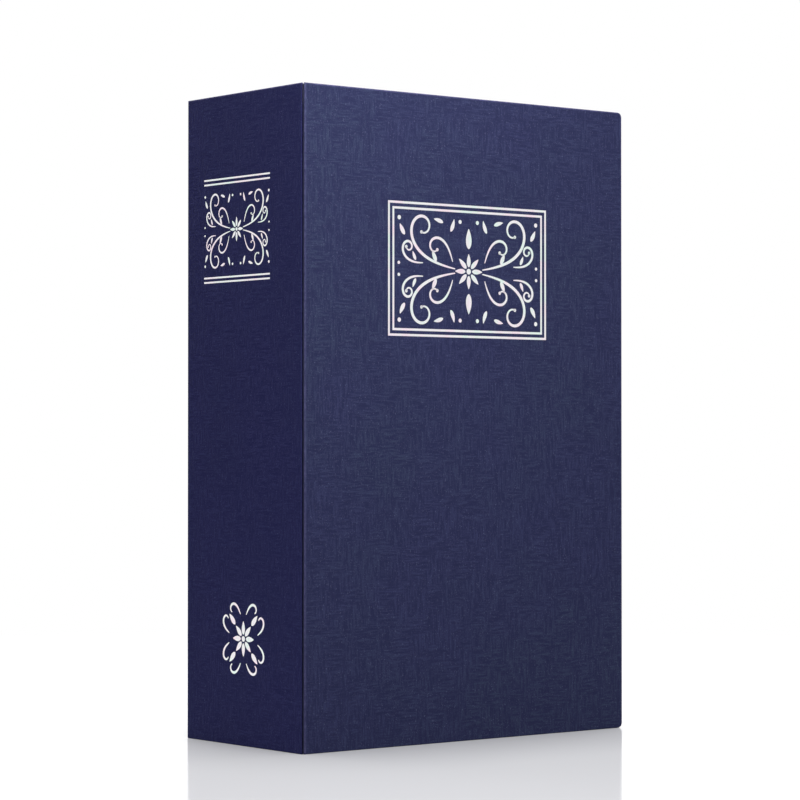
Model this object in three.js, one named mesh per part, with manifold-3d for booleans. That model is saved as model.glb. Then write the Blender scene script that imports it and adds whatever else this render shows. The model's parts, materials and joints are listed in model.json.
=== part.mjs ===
// A book diversion safe: a hardback book case around a lockable steel box.
// Millimetres, +Z up. The book stands closed on its lower edge, with the spine
// at -X, the front cover at -Y and the fore-edge at +X. The origin is the
// middle of the footprint, on the surface that the book stands on.

import * as THREE from 'three';
import { mergeVertices } from 'three/addons/utils/BufferGeometryUtils.js';
import Module from 'manifold-3d';

const wasm = await Module();
wasm.setup();

// Book case
const BOOK_WIDTH = 155;          // along X, spine to fore-edge
const BOOK_HEIGHT = 240;         // along Z
const BOOK_DEPTH = 73;           // along Y, front cover to back cover
const BOARD = 2.4;               // grey board inside each cover
const COVER_PAPER = 0.4;         // embossed paper wrapped round the boards
const ENDPAPER = 0.35;           // plain sheet pasted inside a cover
const GLUE = 0.05;               // glue film between pasted pieces
const TURN_IN = 11;              // width of cover paper folded to the inside
const ENDPAPER_GAP = 0.3;        // between a turn-in and the endpaper
const COVER_CORNER = 2;          // radius of the covers' fore-edge corners
const FRONT_CREASE = 0.8;        // slit between spine and front cover at the corner
const BACK_CREASE = 0.3;         // slit between spine and back cover at the corner
const JOINT_STRIP = 0.3;         // folded cloth in the front crease
const BOARD_END_GAP = 0.3;       // board stops this far short of its mitred edge

// Page block
const SQUARE = 3;                // overhang of the covers past the pages
const PAGE_WALL = 12;            // thickness of the page block round the box
const PAGE_DROP = 3.8;           // pages lie this far below the door's rim
const PAGE_SEAM = 0.1;           // between two stacks of pages
const PAGE_SPINE_GAP = 0.3;      // between pages and spine lining
const PAGE_GAP = 0.5;            // between pages and the door's flange

// Steel box and door
const SHEET = 1;                 // sheet steel
const RUN_GAP = 0.4;             // clearance between moving sheet metal pieces
const COVER_GAP = 0.4;           // between the closed front cover and the door's rim
const DOOR_FLANGE = 7.3;         // depth of the door's edge round the box
const RIM_WIDTH = 5;             // raised rim round the door's face
const RIM_ROUND = 1.3;           // rounding of the rim's two edges
const DISH_DEPTH = 3.2;          // door's face lies this far below its rim
const DISH_SLOPE = 2.2;          // run of the slope from rim to face
const DISH_CORNER = 5;           // corner radius of the door's sunk face
const DOOR_CORNER = 4;           // outer corner radius of the door
const BOX_CORNER = 2.6;          // outer corner radius of the box
const LIP = 7;                   // lip turned in round the box's mouth
const STRIKE_LENGTH = 34;        // angle piece that the cam turns behind
const STRIKE_REACH = 6.5;
const STRIKE_LEG = 12;
const CORNER_STEPS = 5;          // facets in a quarter of a sheet metal corner

// Door hinge
const KNUCKLE_RADIUS = 2.2;
const PIN_RADIUS = 1;
const PIN_FIT = 0.15;            // radial clearance of the pin in its knuckles
const PIN_SPINE_GAP = 1.2;       // between knuckles and spine lining
const HINGE_LENGTH = 150;
const KNUCKLE_GAP = 0.4;
const KNUCKLE_COUNT = 5;
const LEAF = 0.8;
const LEAF_WIDTH = 15;           // of the leaf on the box
const PIN_PROUD = 0.8;           // pin end past the outer knuckles
const RIVET_COUNT = 3;
const RIVET_RADIUS = 1.2;
const RIVET_HEAD_RADIUS = 2.3;
const RIVET_HEAD = 0.9;
const RIVET_BOSS = 0.35;         // flat end of a rivet where there is little room
const RIVET_FIT = 0.1;
const RIVET_EDGE = 4;            // from a leaf's free edge to its rivets
const HINGE_STEPS = 24;

// Cam lock
const BEZEL_RADIUS = 11;
const BEZEL_TOP_RADIUS = 8.4;
const BEZEL_HEIGHT = 2.6;
const BEZEL_LAND = 0.5;          // straight outer edge under the bezel's cone
const LOCK_TO_RIM = 3.8;         // from the bezel to the foot of the rim's slope
const BARREL_RADIUS = 9;
const BARREL_LENGTH = 22;        // behind the door's face
const BARREL_FLAT = 8;           // half the width across the barrel's flats
const BARREL_FIT = 0.15;
const PLUG_RADIUS = 6.5;
const PLUG_FACE_RADIUS = 7.6;
const PLUG_FACE = 1.4;
const PLUG_FIT = 0.1;
const KEYWAY_FIT = 0.2;
const KEYWAY_DEPTH = 23.5;
const WAFER_COUNT = 5;
const WAFER_PITCH = 3.2;
const WAFER_FIRST = 5;           // first wafer behind the plug's face
const WAFER = 1.2;
const WAFER_LENGTH = 11.4;
const WAFER_WIDTH = 5;
const WAFER_FIT = 0.12;
const WAFER_GROOVE = 1.3;        // depth of the wafers' grooves in the housing
const TAIL_SQUARE = 6;
const TAIL_SHORT = 0.1;          // the tail ends just inside the cam
const CAM = 2;
const CAM_WIDTH = 13;
const CAM_REACH = 18.5;
const CAM_GAP = 0.3;             // between housing and cam
const CAM_FIT = 0.1;
const WASHER = 0.8;
const WASHER_RADIUS = 4.6;
const SCREW_RADIUS = 1.6;
const SCREW_HEAD_RADIUS = 3.4;
const SCREW_HEAD = 1.8;
const SCREW_LENGTH = 6;
const SCREW_FIT = 0.1;
const SCREW_SLOT = 0.8;
const NUT = 3.2;
const NUT_FLATS = 23;
const NUT_GAP = 0.1;
const NUT_WASHER = 0.6;
const NUT_WASHER_RADIUS = 12.4;
const LOCK_STEPS = 48;

// Keys and ring
const BLADE_LENGTH = 27;
const BLADE_WIDTH = 6.4;
const BLADE = 2;
const BLADE_GROOVE = 1.2;
const BLADE_GROOVE_DEPTH = 0.35;
const BLADE_TIP = 2.2;
const CUT_COUNT = 5;
const CUT_FIRST = 4.5;           // first cut behind the blade's tip
const CUT_PITCH = 3.2;
const CUT_FLAT = 1;
const CUT_DEEP = 1.1;            // deepest cut
const TANG_LENGTH = 11;          // blade inside the moulded head
const TANG_FIT = 0.1;
const HEAD_WIDTH = 17;
const HEAD_THICKNESS = 6.5;
const HEAD_LENGTH = 25;          // body of the head, without its tongue
const HEAD_CHAMFER = 0.8;
const HEAD_PAD = 0.5;            // raised oval pad on each face
const HEAD_PAD_LENGTH = 17;
const HEAD_PAD_WIDTH = 10.5;
const NOSE_WIDTH = 8;
const SHOULDER = 5.5;            // length of the tapered shoulders
const TONGUE = 3.4;
const TONGUE_RADIUS = 5.2;
const TONGUE_LENGTH = 3.4;       // from the ring hole to the head's body
const RING_HOLE = 2.8;
const KEY_SPACING = 9;           // between the two keys' middles
const RING_RADIUS = 10;
const RING_WIRE = 0.65;
const RING_TURNS = 2;
const RING_STEPS = 24;           // steps in a turn of the ring
const RING_SIDES = 6;
const RING_TURN_GAP = 0.45;      // between the ring's two turns
const KEYS_FLOOR_GAP = 0.3;
const KEYS_Y = 14;               // middle of the keys from the book's middle plane
const RING_HOLE_X = -20;         // ring holes from the book's middle
const KEY_STEPS = 24;

const OVERRUN = 1;               // how far a cutting shape passes a face

// Planes that several pieces share
const coverThickness = 2 * COVER_PAPER + 2 * GLUE + BOARD;
const frontFace = -BOOK_DEPTH / 2;
const backFace = BOOK_DEPTH / 2;
const spineFace = -BOOK_WIDTH / 2;
const foreEdge = BOOK_WIDTH / 2;
const coverInner = frontFace + coverThickness;
const backInner = backFace - coverThickness;
const spineInner = spineFace + coverThickness;
const rimTop = coverInner + COVER_GAP;
const panelFront = rimTop + DISH_DEPTH;
const panelBack = panelFront + SHEET;
const flangeEnd = rimTop + DOOR_FLANGE;
const lipFront = panelBack + RUN_GAP;
const lipBack = lipFront + SHEET;
const boxBack = backInner - GLUE;
const pageFront = rimTop + PAGE_DROP;

const hingeX = spineInner + PIN_SPINE_GAP + KNUCKLE_RADIUS;
const leafFront = panelBack + GLUE;
const leafBack = leafFront + LEAF;
const hingeY = leafBack - LEAF / 2 - KNUCKLE_RADIUS;
const middleZ = BOOK_HEIGHT / 2;

const pageInset = SQUARE + PAGE_WALL;
const door = {
  left: hingeX + KNUCKLE_RADIUS + RUN_GAP,
  right: foreEdge - pageInset - PAGE_GAP,
  low: pageInset + PAGE_GAP,
  high: BOOK_HEIGHT - pageInset - PAGE_GAP,
};
const box = {
  left: hingeX + KNUCKLE_RADIUS + GLUE,
  right: door.right - SHEET - RUN_GAP,
  low: door.low + SHEET + RUN_GAP,
  high: door.high - SHEET - RUN_GAP,
};
const lockX = door.right - RIM_WIDTH - DISH_SLOPE - LOCK_TO_RIM - BEZEL_RADIUS;
const lockZ = middleZ;
const plugFront = panelFront - BEZEL_HEIGHT;
const barrelEnd = panelFront + BARREL_LENGTH;
const camFront = barrelEnd + CAM_GAP;
const camBack = camFront + CAM;

const bladeLine = TONGUE_LENGTH + HEAD_LENGTH;
const floorZ = box.low + SHEET;
const keyZ = floorZ + KEYS_FLOOR_GAP + HEAD_WIDTH / 2;

// Finishes
const finish = (color, roughness, metalness = 0) =>
  new THREE.MeshStandardMaterial({ color, roughness, metalness });
const finishes = {
  coverPaper: finish(0x2c2f57, 0.55),
  board: finish(0x8d8478, 0.9),
  endpaper: finish(0xefe9df, 0.85),
  cloth: finish(0x23264a, 0.8),
  pages: finish(0xf1e4e0, 0.9),
  coatedSteel: finish(0x6d656c, 0.45, 0.3),
  brightSteel: finish(0xb4b4b8, 0.35, 1),
  chrome: finish(0xd6d6da, 0.12, 1),
  brass: finish(0xb59a5b, 0.35, 1),
  nickel: finish(0xa79c94, 0.3, 1),
  keyPlastic: finish(0x2b282b, 0.4),
};

// Solids from three.js geometries, and back again

function solidOf(geometry) {
  const plain = new THREE.BufferGeometry();
  plain.setAttribute('position', geometry.getAttribute('position').clone());
  const count = geometry.getAttribute('position').count;
  const index = geometry.index ? Array.from(geometry.index.array) : [...Array(count).keys()];
  plain.setIndex(index);
  const merged = mergeVertices(plain);
  const corners = merged.index.array;
  const kept = [];
  for (let i = 0; i < corners.length; i += 3) {
    const [a, b, c] = [corners[i], corners[i + 1], corners[i + 2]];
    if (a !== b && b !== c && c !== a) kept.push(a, b, c);
  }
  return new wasm.Manifold(new wasm.Mesh({
    numProp: 3,
    vertProperties: Float32Array.from(merged.getAttribute('position').array),
    triVerts: Uint32Array.from(kept),
  }));
}

function geometryOf(solid) {
  const mesh = solid.getMesh();
  const geometry = new THREE.BufferGeometry();
  geometry.setAttribute('position', new THREE.BufferAttribute(mesh.vertProperties, 3));
  geometry.setIndex(new THREE.BufferAttribute(mesh.triVerts, 1));
  geometry.computeVertexNormals();
  return geometry;
}

const join = (...solids) => solids.reduce((whole, piece) => whole.add(piece));
const cut = (solid, ...tools) => tools.reduce((rest, tool) => rest.subtract(tool), solid);

// A box between two corners
function block(x, y, z) {
  const geometry = new THREE.BoxGeometry(x[1] - x[0], y[1] - y[0], z[1] - z[0]);
  geometry.translate((x[0] + x[1]) / 2, (y[0] + y[1]) / 2, (z[0] + z[1]) / 2);
  return solidOf(geometry);
}

// An outline in X and Z, carried along Y
function plateXZ(outline, y) {
  const shape = new THREE.Shape(outline.map(([px, pz]) => new THREE.Vector2(px, pz)));
  const geometry = new THREE.ExtrudeGeometry(shape, { depth: y[1] - y[0], bevelEnabled: false });
  geometry.rotateX(Math.PI / 2);
  geometry.translate(0, y[1], 0);
  return solidOf(geometry);
}

// An outline in X and Y, carried along Z
function barXY(outline, z) {
  const shape = new THREE.Shape(outline.map(([px, py]) => new THREE.Vector2(px, py)));
  const geometry = new THREE.ExtrudeGeometry(shape, { depth: z[1] - z[0], bevelEnabled: false });
  geometry.translate(0, 0, z[0]);
  return solidOf(geometry);
}

// A turned piece: a closed profile of [radius, y] points spun round a line along Y
function turnedY(profile, steps, x = 0, z = 0) {
  const points = [...profile, profile[0]].map(([radius, y]) => new THREE.Vector2(radius, y));
  const geometry = new THREE.LatheGeometry(points, steps);
  geometry.translate(x, 0, z);
  const solid = solidOf(geometry);
  if (solid.volume() > 0) return solid;
  geometry.index.array.reverse();
  return solidOf(geometry);
}

// A plain round bar or hole along Y, on the same facets as turnedY gives
const roundY = (radius, y, steps, x = 0, z = 0) =>
  turnedY([[0, y[0]], [radius, y[0]], [radius, y[1]], [0, y[1]]], steps, x, z);

// A round bar along Z
function roundZ(radius, z, steps, x, y) {
  const geometry = new THREE.CylinderGeometry(radius, radius, z[1] - z[0], steps);
  geometry.rotateX(Math.PI / 2);
  geometry.translate(x, y, (z[0] + z[1]) / 2);
  return solidOf(geometry);
}

// A round bar along X
function roundX(radius, x, steps, y, z) {
  const geometry = new THREE.CylinderGeometry(radius, radius, x[1] - x[0], steps);
  geometry.rotateZ(Math.PI / 2);
  geometry.translate((x[0] + x[1]) / 2, y, z);
  return solidOf(geometry);
}

// The outline of a rectangle in X and Z, drawn in by inset, with round corners
function roundedOutline(frame, inset, radius) {
  const left = frame.left + inset;
  const right = frame.right - inset;
  const low = frame.low + inset;
  const high = frame.high - inset;
  const r = Math.max(radius, OVERRUN / CORNER_STEPS);
  const centres = [[right - r, high - r], [left + r, high - r], [left + r, low + r], [right - r, low + r]];
  const points = [];
  centres.forEach(([cx, cz], quarter) => {
    for (let step = 0; step <= CORNER_STEPS; step += 1) {
      const angle = (quarter + step / CORNER_STEPS) * Math.PI / 2;
      points.push([cx + r * Math.cos(angle), cz + r * Math.sin(angle)]);
    }
  });
  return points;
}

// A closed body through a pile of like outlines, each at its own Y
function pile(layers) {
  const count = layers[0].outline.length;
  const positions = layers.flatMap(({ outline, y }) => outline.flatMap(([x, z]) => [x, y, z]));
  const index = [];
  for (let layer = 0; layer + 1 < layers.length; layer += 1) {
    for (let i = 0; i < count; i += 1) {
      const a = layer * count + i;
      const b = layer * count + (i + 1) % count;
      index.push(a, a + count, b, b, a + count, b + count);
    }
  }
  const last = (layers.length - 1) * count;
  for (let i = 1; i + 1 < count; i += 1) {
    index.push(0, i, i + 1, last, last + i + 1, last + i);
  }
  const geometry = new THREE.BufferGeometry();
  geometry.setAttribute('position', new THREE.Float32BufferAttribute(positions, 3));
  geometry.setIndex(index);
  const solid = solidOf(geometry);
  if (solid.volume() > 0) return solid;
  geometry.setIndex(index.reverse());
  return solidOf(geometry);
}

const model = new THREE.Group();

function addPiece(name, solid, material, parent = model) {
  const mesh = new THREE.Mesh(solid.isBufferGeometry ? solid : geometryOf(solid), material);
  mesh.name = name;
  parent.add(mesh);
  return mesh;
}

// The case: three boards, the paper wrapped round them and the sheets inside.
// Each cover is drawn here with its outer face at side * depth / 2.

const mirrored = (near, far, side) => (side < 0 ? [near, far] : [-far, -near]);

function coverOutline(inset, start = spineFace) {
  const right = foreEdge - inset;
  const low = inset;
  const high = BOOK_HEIGHT - inset;
  const r = COVER_CORNER;
  const points = [[start, high], [start, low]];
  for (let step = 0; step <= CORNER_STEPS; step += 1) {
    const angle = (step / CORNER_STEPS) * Math.PI / 2;
    points.push([right - r + r * Math.sin(angle), low + r - r * Math.cos(angle)]);
  }
  for (let step = 0; step <= CORNER_STEPS; step += 1) {
    const angle = (step / CORNER_STEPS) * Math.PI / 2;
    points.push([right - r + r * Math.cos(angle), high - r + r * Math.sin(angle)]);
  }
  return points;
}

// The space on the spine's side of a 45 degree mitre at a corner of the case,
// with the mitre's face moved away from the corner's diagonal by shift
function mitreTool(side, shift, towardsSpine) {
  const cornerY = side * BOOK_DEPTH / 2;
  const reach = 2 * coverThickness + OVERRUN;
  const slip = shift * Math.SQRT2 * (towardsSpine ? -1 : 1);
  const near = [spineFace - reach + slip, cornerY + side * reach];
  const far = [spineFace + reach + slip, cornerY - side * reach];
  const away = towardsSpine ? [far[0], near[1]] : [near[0], far[1]];
  return barXY([near, far, away], [-OVERRUN, BOOK_HEIGHT + OVERRUN]);
}

function addCover(name, side, crease) {
  const outer = Math.abs(frontFace);
  const span = (near, far) => mirrored(-outer + near, -outer + far, side);
  const paperIn = COVER_PAPER + GLUE + BOARD + GLUE;
  const mitre = mitreTool(side, crease / 2, false);
  const boardMitre = mitreTool(side, crease / 2 + BOARD_END_GAP, false);

  const wrap = plateXZ(coverOutline(0), span(0, coverThickness));
  const hollow = plateXZ(coverOutline(COVER_PAPER, spineFace - OVERRUN), span(COVER_PAPER, paperIn));
  const windowStart = spineFace - OVERRUN;
  const window = block(
    [windowStart, foreEdge - TURN_IN],
    span(COVER_PAPER, coverThickness + OVERRUN),
    [TURN_IN, BOOK_HEIGHT - TURN_IN],
  );
  addPiece(`${name}_cover_paper`, cut(wrap, hollow, window, mitre), finishes.coverPaper);

  const board = plateXZ(
    coverOutline(COVER_PAPER + GLUE),
    span(COVER_PAPER + GLUE, COVER_PAPER + GLUE + BOARD),
  );
  addPiece(`${name}_board`, cut(board, boardMitre), finishes.board);

  const sheetStart = spineInner + crease + BOARD_END_GAP;
  addPiece(`${name}_endpaper`, block(
    [sheetStart, foreEdge - TURN_IN - ENDPAPER_GAP],
    span(paperIn, paperIn + ENDPAPER),
    [TURN_IN + ENDPAPER_GAP, BOOK_HEIGHT - TURN_IN - ENDPAPER_GAP],
  ), finishes.endpaper);
}

addCover('front', -1, FRONT_CREASE);
addCover('back', 1, BACK_CREASE);

function addSpine() {
  const paperIn = COVER_PAPER + GLUE + BOARD + GLUE;
  const depth = [frontFace, backFace];
  const front = mitreTool(-1, FRONT_CREASE / 2, true);
  const back = mitreTool(1, BACK_CREASE / 2, true);
  const wrap = block([spineFace, spineInner], depth, [0, BOOK_HEIGHT]);
  const hollow = block(
    [spineFace + COVER_PAPER, spineFace + paperIn],
    [frontFace - OVERRUN, backFace + OVERRUN],
    [COVER_PAPER, BOOK_HEIGHT - COVER_PAPER],
  );
  const window = block(
    [spineFace + COVER_PAPER, spineInner + OVERRUN],
    [frontFace - OVERRUN, backFace + OVERRUN],
    [TURN_IN, BOOK_HEIGHT - TURN_IN],
  );
  addPiece('spine_cover_paper', cut(wrap, hollow, window, front, back), finishes.coverPaper);

  const board = block(
    [spineFace + COVER_PAPER + GLUE, spineFace + COVER_PAPER + GLUE + BOARD],
    depth,
    [COVER_PAPER + GLUE, BOOK_HEIGHT - COVER_PAPER - GLUE],
  );
  addPiece('spine_board', cut(
    board,
    mitreTool(-1, FRONT_CREASE / 2 + BOARD_END_GAP, true),
    mitreTool(1, BACK_CREASE / 2 + BOARD_END_GAP, true),
  ), finishes.board);

  addPiece('spine_lining', block(
    [spineFace + paperIn, spineFace + paperIn + ENDPAPER],
    [coverInner + FRONT_CREASE + BOARD_END_GAP, backInner - BACK_CREASE - BOARD_END_GAP],
    [TURN_IN + ENDPAPER_GAP, BOOK_HEIGHT - TURN_IN - ENDPAPER_GAP],
  ), finishes.endpaper);

  // Folded cloth that joins spine and front cover, standing in the crease
  const bar = block([spineFace, spineInner], [frontFace, coverInner], [GLUE, BOOK_HEIGHT - GLUE]);
  const half = JOINT_STRIP / 2;
  addPiece('front_joint_strip', cut(
    bar,
    mitreTool(-1, -half, true),
    mitreTool(-1, -half, false),
    block([spineFace - OVERRUN, spineFace + COVER_PAPER], depth, [-OVERRUN, BOOK_HEIGHT + OVERRUN]),
  ), finishes.cloth);
}

addSpine();

// The page block: three stacks of glued sheets round the steel box
function addPages() {
  const depth = [pageFront, backInner - GLUE];
  const left = spineInner + PAGE_SPINE_GAP;
  const outer = foreEdge - SQUARE;
  const inner = outer - PAGE_WALL;
  addPiece('page_block_fore_edge', block([inner, outer], depth, [SQUARE, BOOK_HEIGHT - SQUARE]), finishes.pages);
  addPiece('page_block_bottom', block([left, inner - PAGE_SEAM], depth, [SQUARE, pageInset]), finishes.pages);
  addPiece('page_block_top', block(
    [left, inner - PAGE_SEAM],
    depth,
    [BOOK_HEIGHT - pageInset, BOOK_HEIGHT - SQUARE],
  ), finishes.pages);
}

addPages();

// Places along the hinge
const hingeLow = middleZ - HINGE_LENGTH / 2;
const hingeHigh = middleZ + HINGE_LENGTH / 2;
const rivetPlaces = [...Array(RIVET_COUNT).keys()].map(
  (i) => hingeLow + HINGE_LENGTH * (i + 1 / 2) / RIVET_COUNT,
);
const doorRivetX = door.left + RIM_WIDTH + DISH_SLOPE + RIVET_HEAD_RADIUS + RUN_GAP;
const boxRivetY = hingeY + LEAF_WIDTH - RIVET_EDGE;

// The steel box: a folded pan with a lip round three sides of its mouth
function addBox() {
  const inside = { left: box.left + SHEET, right: box.right - SHEET, low: box.low + SHEET, high: box.high - SHEET };
  const mouth = { left: inside.left, right: box.right - LIP, low: box.low + LIP, high: box.high - LIP };
  const shell = plateXZ(roundedOutline(box, 0, BOX_CORNER), [lipFront, boxBack]);
  const hollow = plateXZ(roundedOutline(inside, 0, BOX_CORNER - SHEET), [lipBack, boxBack - SHEET]);
  const opening = plateXZ(roundedOutline(mouth, 0, BOX_CORNER - SHEET), [lipFront - OVERRUN, lipBack + OVERRUN]);
  const leafNotch = block(
    [box.left - OVERRUN, inside.left + OVERRUN],
    [lipFront - OVERRUN, leafBack + RUN_GAP],
    [hingeLow - RUN_GAP, hingeHigh + RUN_GAP],
  );
  const holes = rivetPlaces.map((z) => roundX(
    RIVET_RADIUS + RIVET_FIT,
    [box.left - OVERRUN, inside.left + OVERRUN],
    HINGE_STEPS,
    boxRivetY,
    z,
  ));
  addPiece('steel_box', cut(shell, hollow, opening, leafNotch, ...holes), finishes.coatedSteel);

  // The angle piece that the cam turns behind
  const strikeFront = camFront - RUN_GAP - SHEET;
  const wallSide = inside.right - GLUE;
  const z = [lockZ - STRIKE_LENGTH / 2, lockZ + STRIKE_LENGTH / 2];
  addPiece('strike_plate', join(
    block([wallSide - STRIKE_REACH, wallSide], [strikeFront, strikeFront + SHEET], z),
    block([wallSide - SHEET, wallSide], [strikeFront - STRIKE_LEG, strikeFront + SHEET], z),
  ), finishes.coatedSteel);
}

addBox();

// The door: a pressed pan with a raised rounded rim and a flange on three sides
function addDoor() {
  const roundSteps = [1, 2, 3].map((step) => (step / 3) * Math.PI / 2);
  const rimLayers = roundSteps.map((angle) => ({
    outline: roundedOutline(door, RIM_ROUND * (1 - Math.cos(angle)), DOOR_CORNER),
    y: rimTop + RIM_ROUND * (1 - Math.sin(angle)),
  }));
  const skin = pile([
    { outline: roundedOutline(door, 0, DOOR_CORNER), y: flangeEnd },
    { outline: roundedOutline(door, 0, DOOR_CORNER), y: rimTop + RIM_ROUND },
    ...rimLayers,
  ]);

  // The sunk face, with the rim's inner edge rounded the same way
  const dishLayers = roundSteps.map((angle) => ({
    outline: roundedOutline(door, RIM_WIDTH - RIM_ROUND * (1 - Math.sin(angle)), DISH_CORNER),
    y: rimTop + RIM_ROUND * (1 - Math.cos(angle)),
  }));
  const foot = RIM_WIDTH + DISH_SLOPE;
  const dish = pile([
    { outline: roundedOutline(door, RIM_WIDTH - RIM_ROUND, DISH_CORNER), y: rimTop - OVERRUN },
    { outline: roundedOutline(door, RIM_WIDTH - RIM_ROUND, DISH_CORNER), y: rimTop },
    ...dishLayers,
    { outline: roundedOutline(door, foot, DISH_CORNER), y: panelFront },
  ]);

  // The room behind the rim, round the back of the sunk face
  const room = plateXZ(
    roundedOutline(door, SHEET, DOOR_CORNER - SHEET),
    [rimTop + SHEET, flangeEnd + OVERRUN],
  );
  const sunkBack = pile([
    { outline: roundedOutline(door, RIM_WIDTH - SHEET, DISH_CORNER), y: rimTop - OVERRUN },
    { outline: roundedOutline(door, RIM_WIDTH - SHEET, DISH_CORNER), y: rimTop + RIM_ROUND },
    { outline: roundedOutline(door, foot - SHEET, DISH_CORNER), y: panelBack },
  ]);
  const hingeSide = block(
    [door.left - OVERRUN, door.left + RIM_WIDTH],
    [panelBack, flangeEnd + OVERRUN],
    [box.low - RUN_GAP, box.high + RUN_GAP],
  );
  const lockHole = cut(
    roundY(BARREL_RADIUS + BARREL_FIT, [rimTop, flangeEnd], LOCK_STEPS, lockX, lockZ),
    ...[-1, 1].map((side) => {
      const flat = lockZ + side * (BARREL_FLAT + BARREL_FIT);
      const end = lockZ + side * (BARREL_RADIUS + OVERRUN);
      return block(
        [lockX - BEZEL_RADIUS, lockX + BEZEL_RADIUS],
        [rimTop - OVERRUN, flangeEnd + OVERRUN],
        [Math.min(flat, end), Math.max(flat, end)],
      );
    }),
  );
  const rivetHoles = rivetPlaces.map((z) => roundY(
    RIVET_RADIUS + RIVET_FIT,
    [rimTop, flangeEnd],
    HINGE_STEPS,
    doorRivetX,
    z,
  ));
  addPiece('safe_door', cut(
    skin,
    dish,
    cut(room, sunkBack),
    hingeSide,
    lockHole,
    ...rivetHoles,
  ), finishes.coatedSteel);
}

addDoor();

// The door's hinge: two leaves with their knuckles in turn along one pin
function addHinge() {
  const pitch = HINGE_LENGTH / KNUCKLE_COUNT;
  const bore = roundZ(PIN_RADIUS + PIN_FIT, [hingeLow - OVERRUN, hingeHigh + OVERRUN], HINGE_STEPS, hingeX, hingeY);
  const knuckle = (i) => roundZ(
    KNUCKLE_RADIUS,
    [hingeLow + i * pitch + KNUCKLE_GAP / 2, hingeLow + (i + 1) * pitch - KNUCKLE_GAP / 2],
    HINGE_STEPS,
    hingeX,
    hingeY,
  );
  const relief = (i) => block(
    [hingeX - KNUCKLE_RADIUS - RUN_GAP, hingeX + KNUCKLE_RADIUS + RUN_GAP],
    [hingeY - KNUCKLE_RADIUS - RUN_GAP, hingeY + KNUCKLE_RADIUS + RUN_GAP],
    [hingeLow + i * pitch - KNUCKLE_GAP / 2, hingeLow + (i + 1) * pitch + KNUCKLE_GAP / 2],
  );
  const places = [...Array(KNUCKLE_COUNT).keys()];
  const boxKnuckles = places.filter((i) => i % 2 === 0);
  const doorKnuckles = places.filter((i) => i % 2 === 1);

  const boxPlate = cut(
    block(
      [box.left - GLUE - LEAF, box.left - GLUE],
      [hingeY, hingeY + LEAF_WIDTH],
      [hingeLow, hingeHigh],
    ),
    ...doorKnuckles.map(relief),
    ...rivetPlaces.map((z) => roundX(
      RIVET_RADIUS + RIVET_FIT,
      [box.left - LEAF - OVERRUN, box.left],
      HINGE_STEPS,
      boxRivetY,
      z,
    )),
  );
  addPiece('box_hinge_leaf', cut(join(boxPlate, ...boxKnuckles.map(knuckle)), bore), finishes.brightSteel);

  const doorPlate = cut(
    block([hingeX, doorRivetX + RIVET_EDGE], [leafFront, leafBack], [hingeLow, hingeHigh]),
    ...boxKnuckles.map(relief),
    ...rivetPlaces.map((z) => roundY(
      RIVET_RADIUS + RIVET_FIT,
      [leafFront - OVERRUN, leafBack + OVERRUN],
      HINGE_STEPS,
      doorRivetX,
      z,
    )),
  );
  addPiece('door_hinge_leaf', cut(join(doorPlate, ...doorKnuckles.map(knuckle)), bore), finishes.brightSteel);

  addPiece('hinge_pin', roundZ(
    PIN_RADIUS,
    [hingeLow - PIN_PROUD, hingeHigh + PIN_PROUD],
    HINGE_STEPS,
    hingeX,
    hingeY,
  ), finishes.brightSteel);

  // A rivet seen from its low domed head: shank, then the flat end that is set
  const rivetProfile = (start, through) => [
    [0, start - RIVET_HEAD],
    [RIVET_HEAD_RADIUS / 2, start - RIVET_HEAD],
    [RIVET_HEAD_RADIUS, start - GLUE],
    [RIVET_RADIUS, start - GLUE],
    [RIVET_RADIUS, through + GLUE],
    [RIVET_HEAD_RADIUS, through + GLUE],
    [RIVET_HEAD_RADIUS, through + GLUE + RIVET_BOSS],
    [0, through + GLUE + RIVET_BOSS],
  ];
  rivetPlaces.forEach((z, i) => {
    addPiece(
      `door_rivet_${i + 1}`,
      turnedY(rivetProfile(panelFront, leafBack), HINGE_STEPS, doorRivetX, z),
      finishes.brightSteel,
    );
    // The box rivets' heads are inside the box, and their flat ends on the leaf
    const geometry = geometryOf(turnedY(rivetProfile(0, SHEET + GLUE + LEAF), HINGE_STEPS));
    geometry.rotateZ(Math.PI / 2);
    geometry.translate(box.left + SHEET, boxRivetY, z);
    addPiece(`box_rivet_${i + 1}`, geometry, finishes.brightSteel);
  });
}

addHinge();

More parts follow.
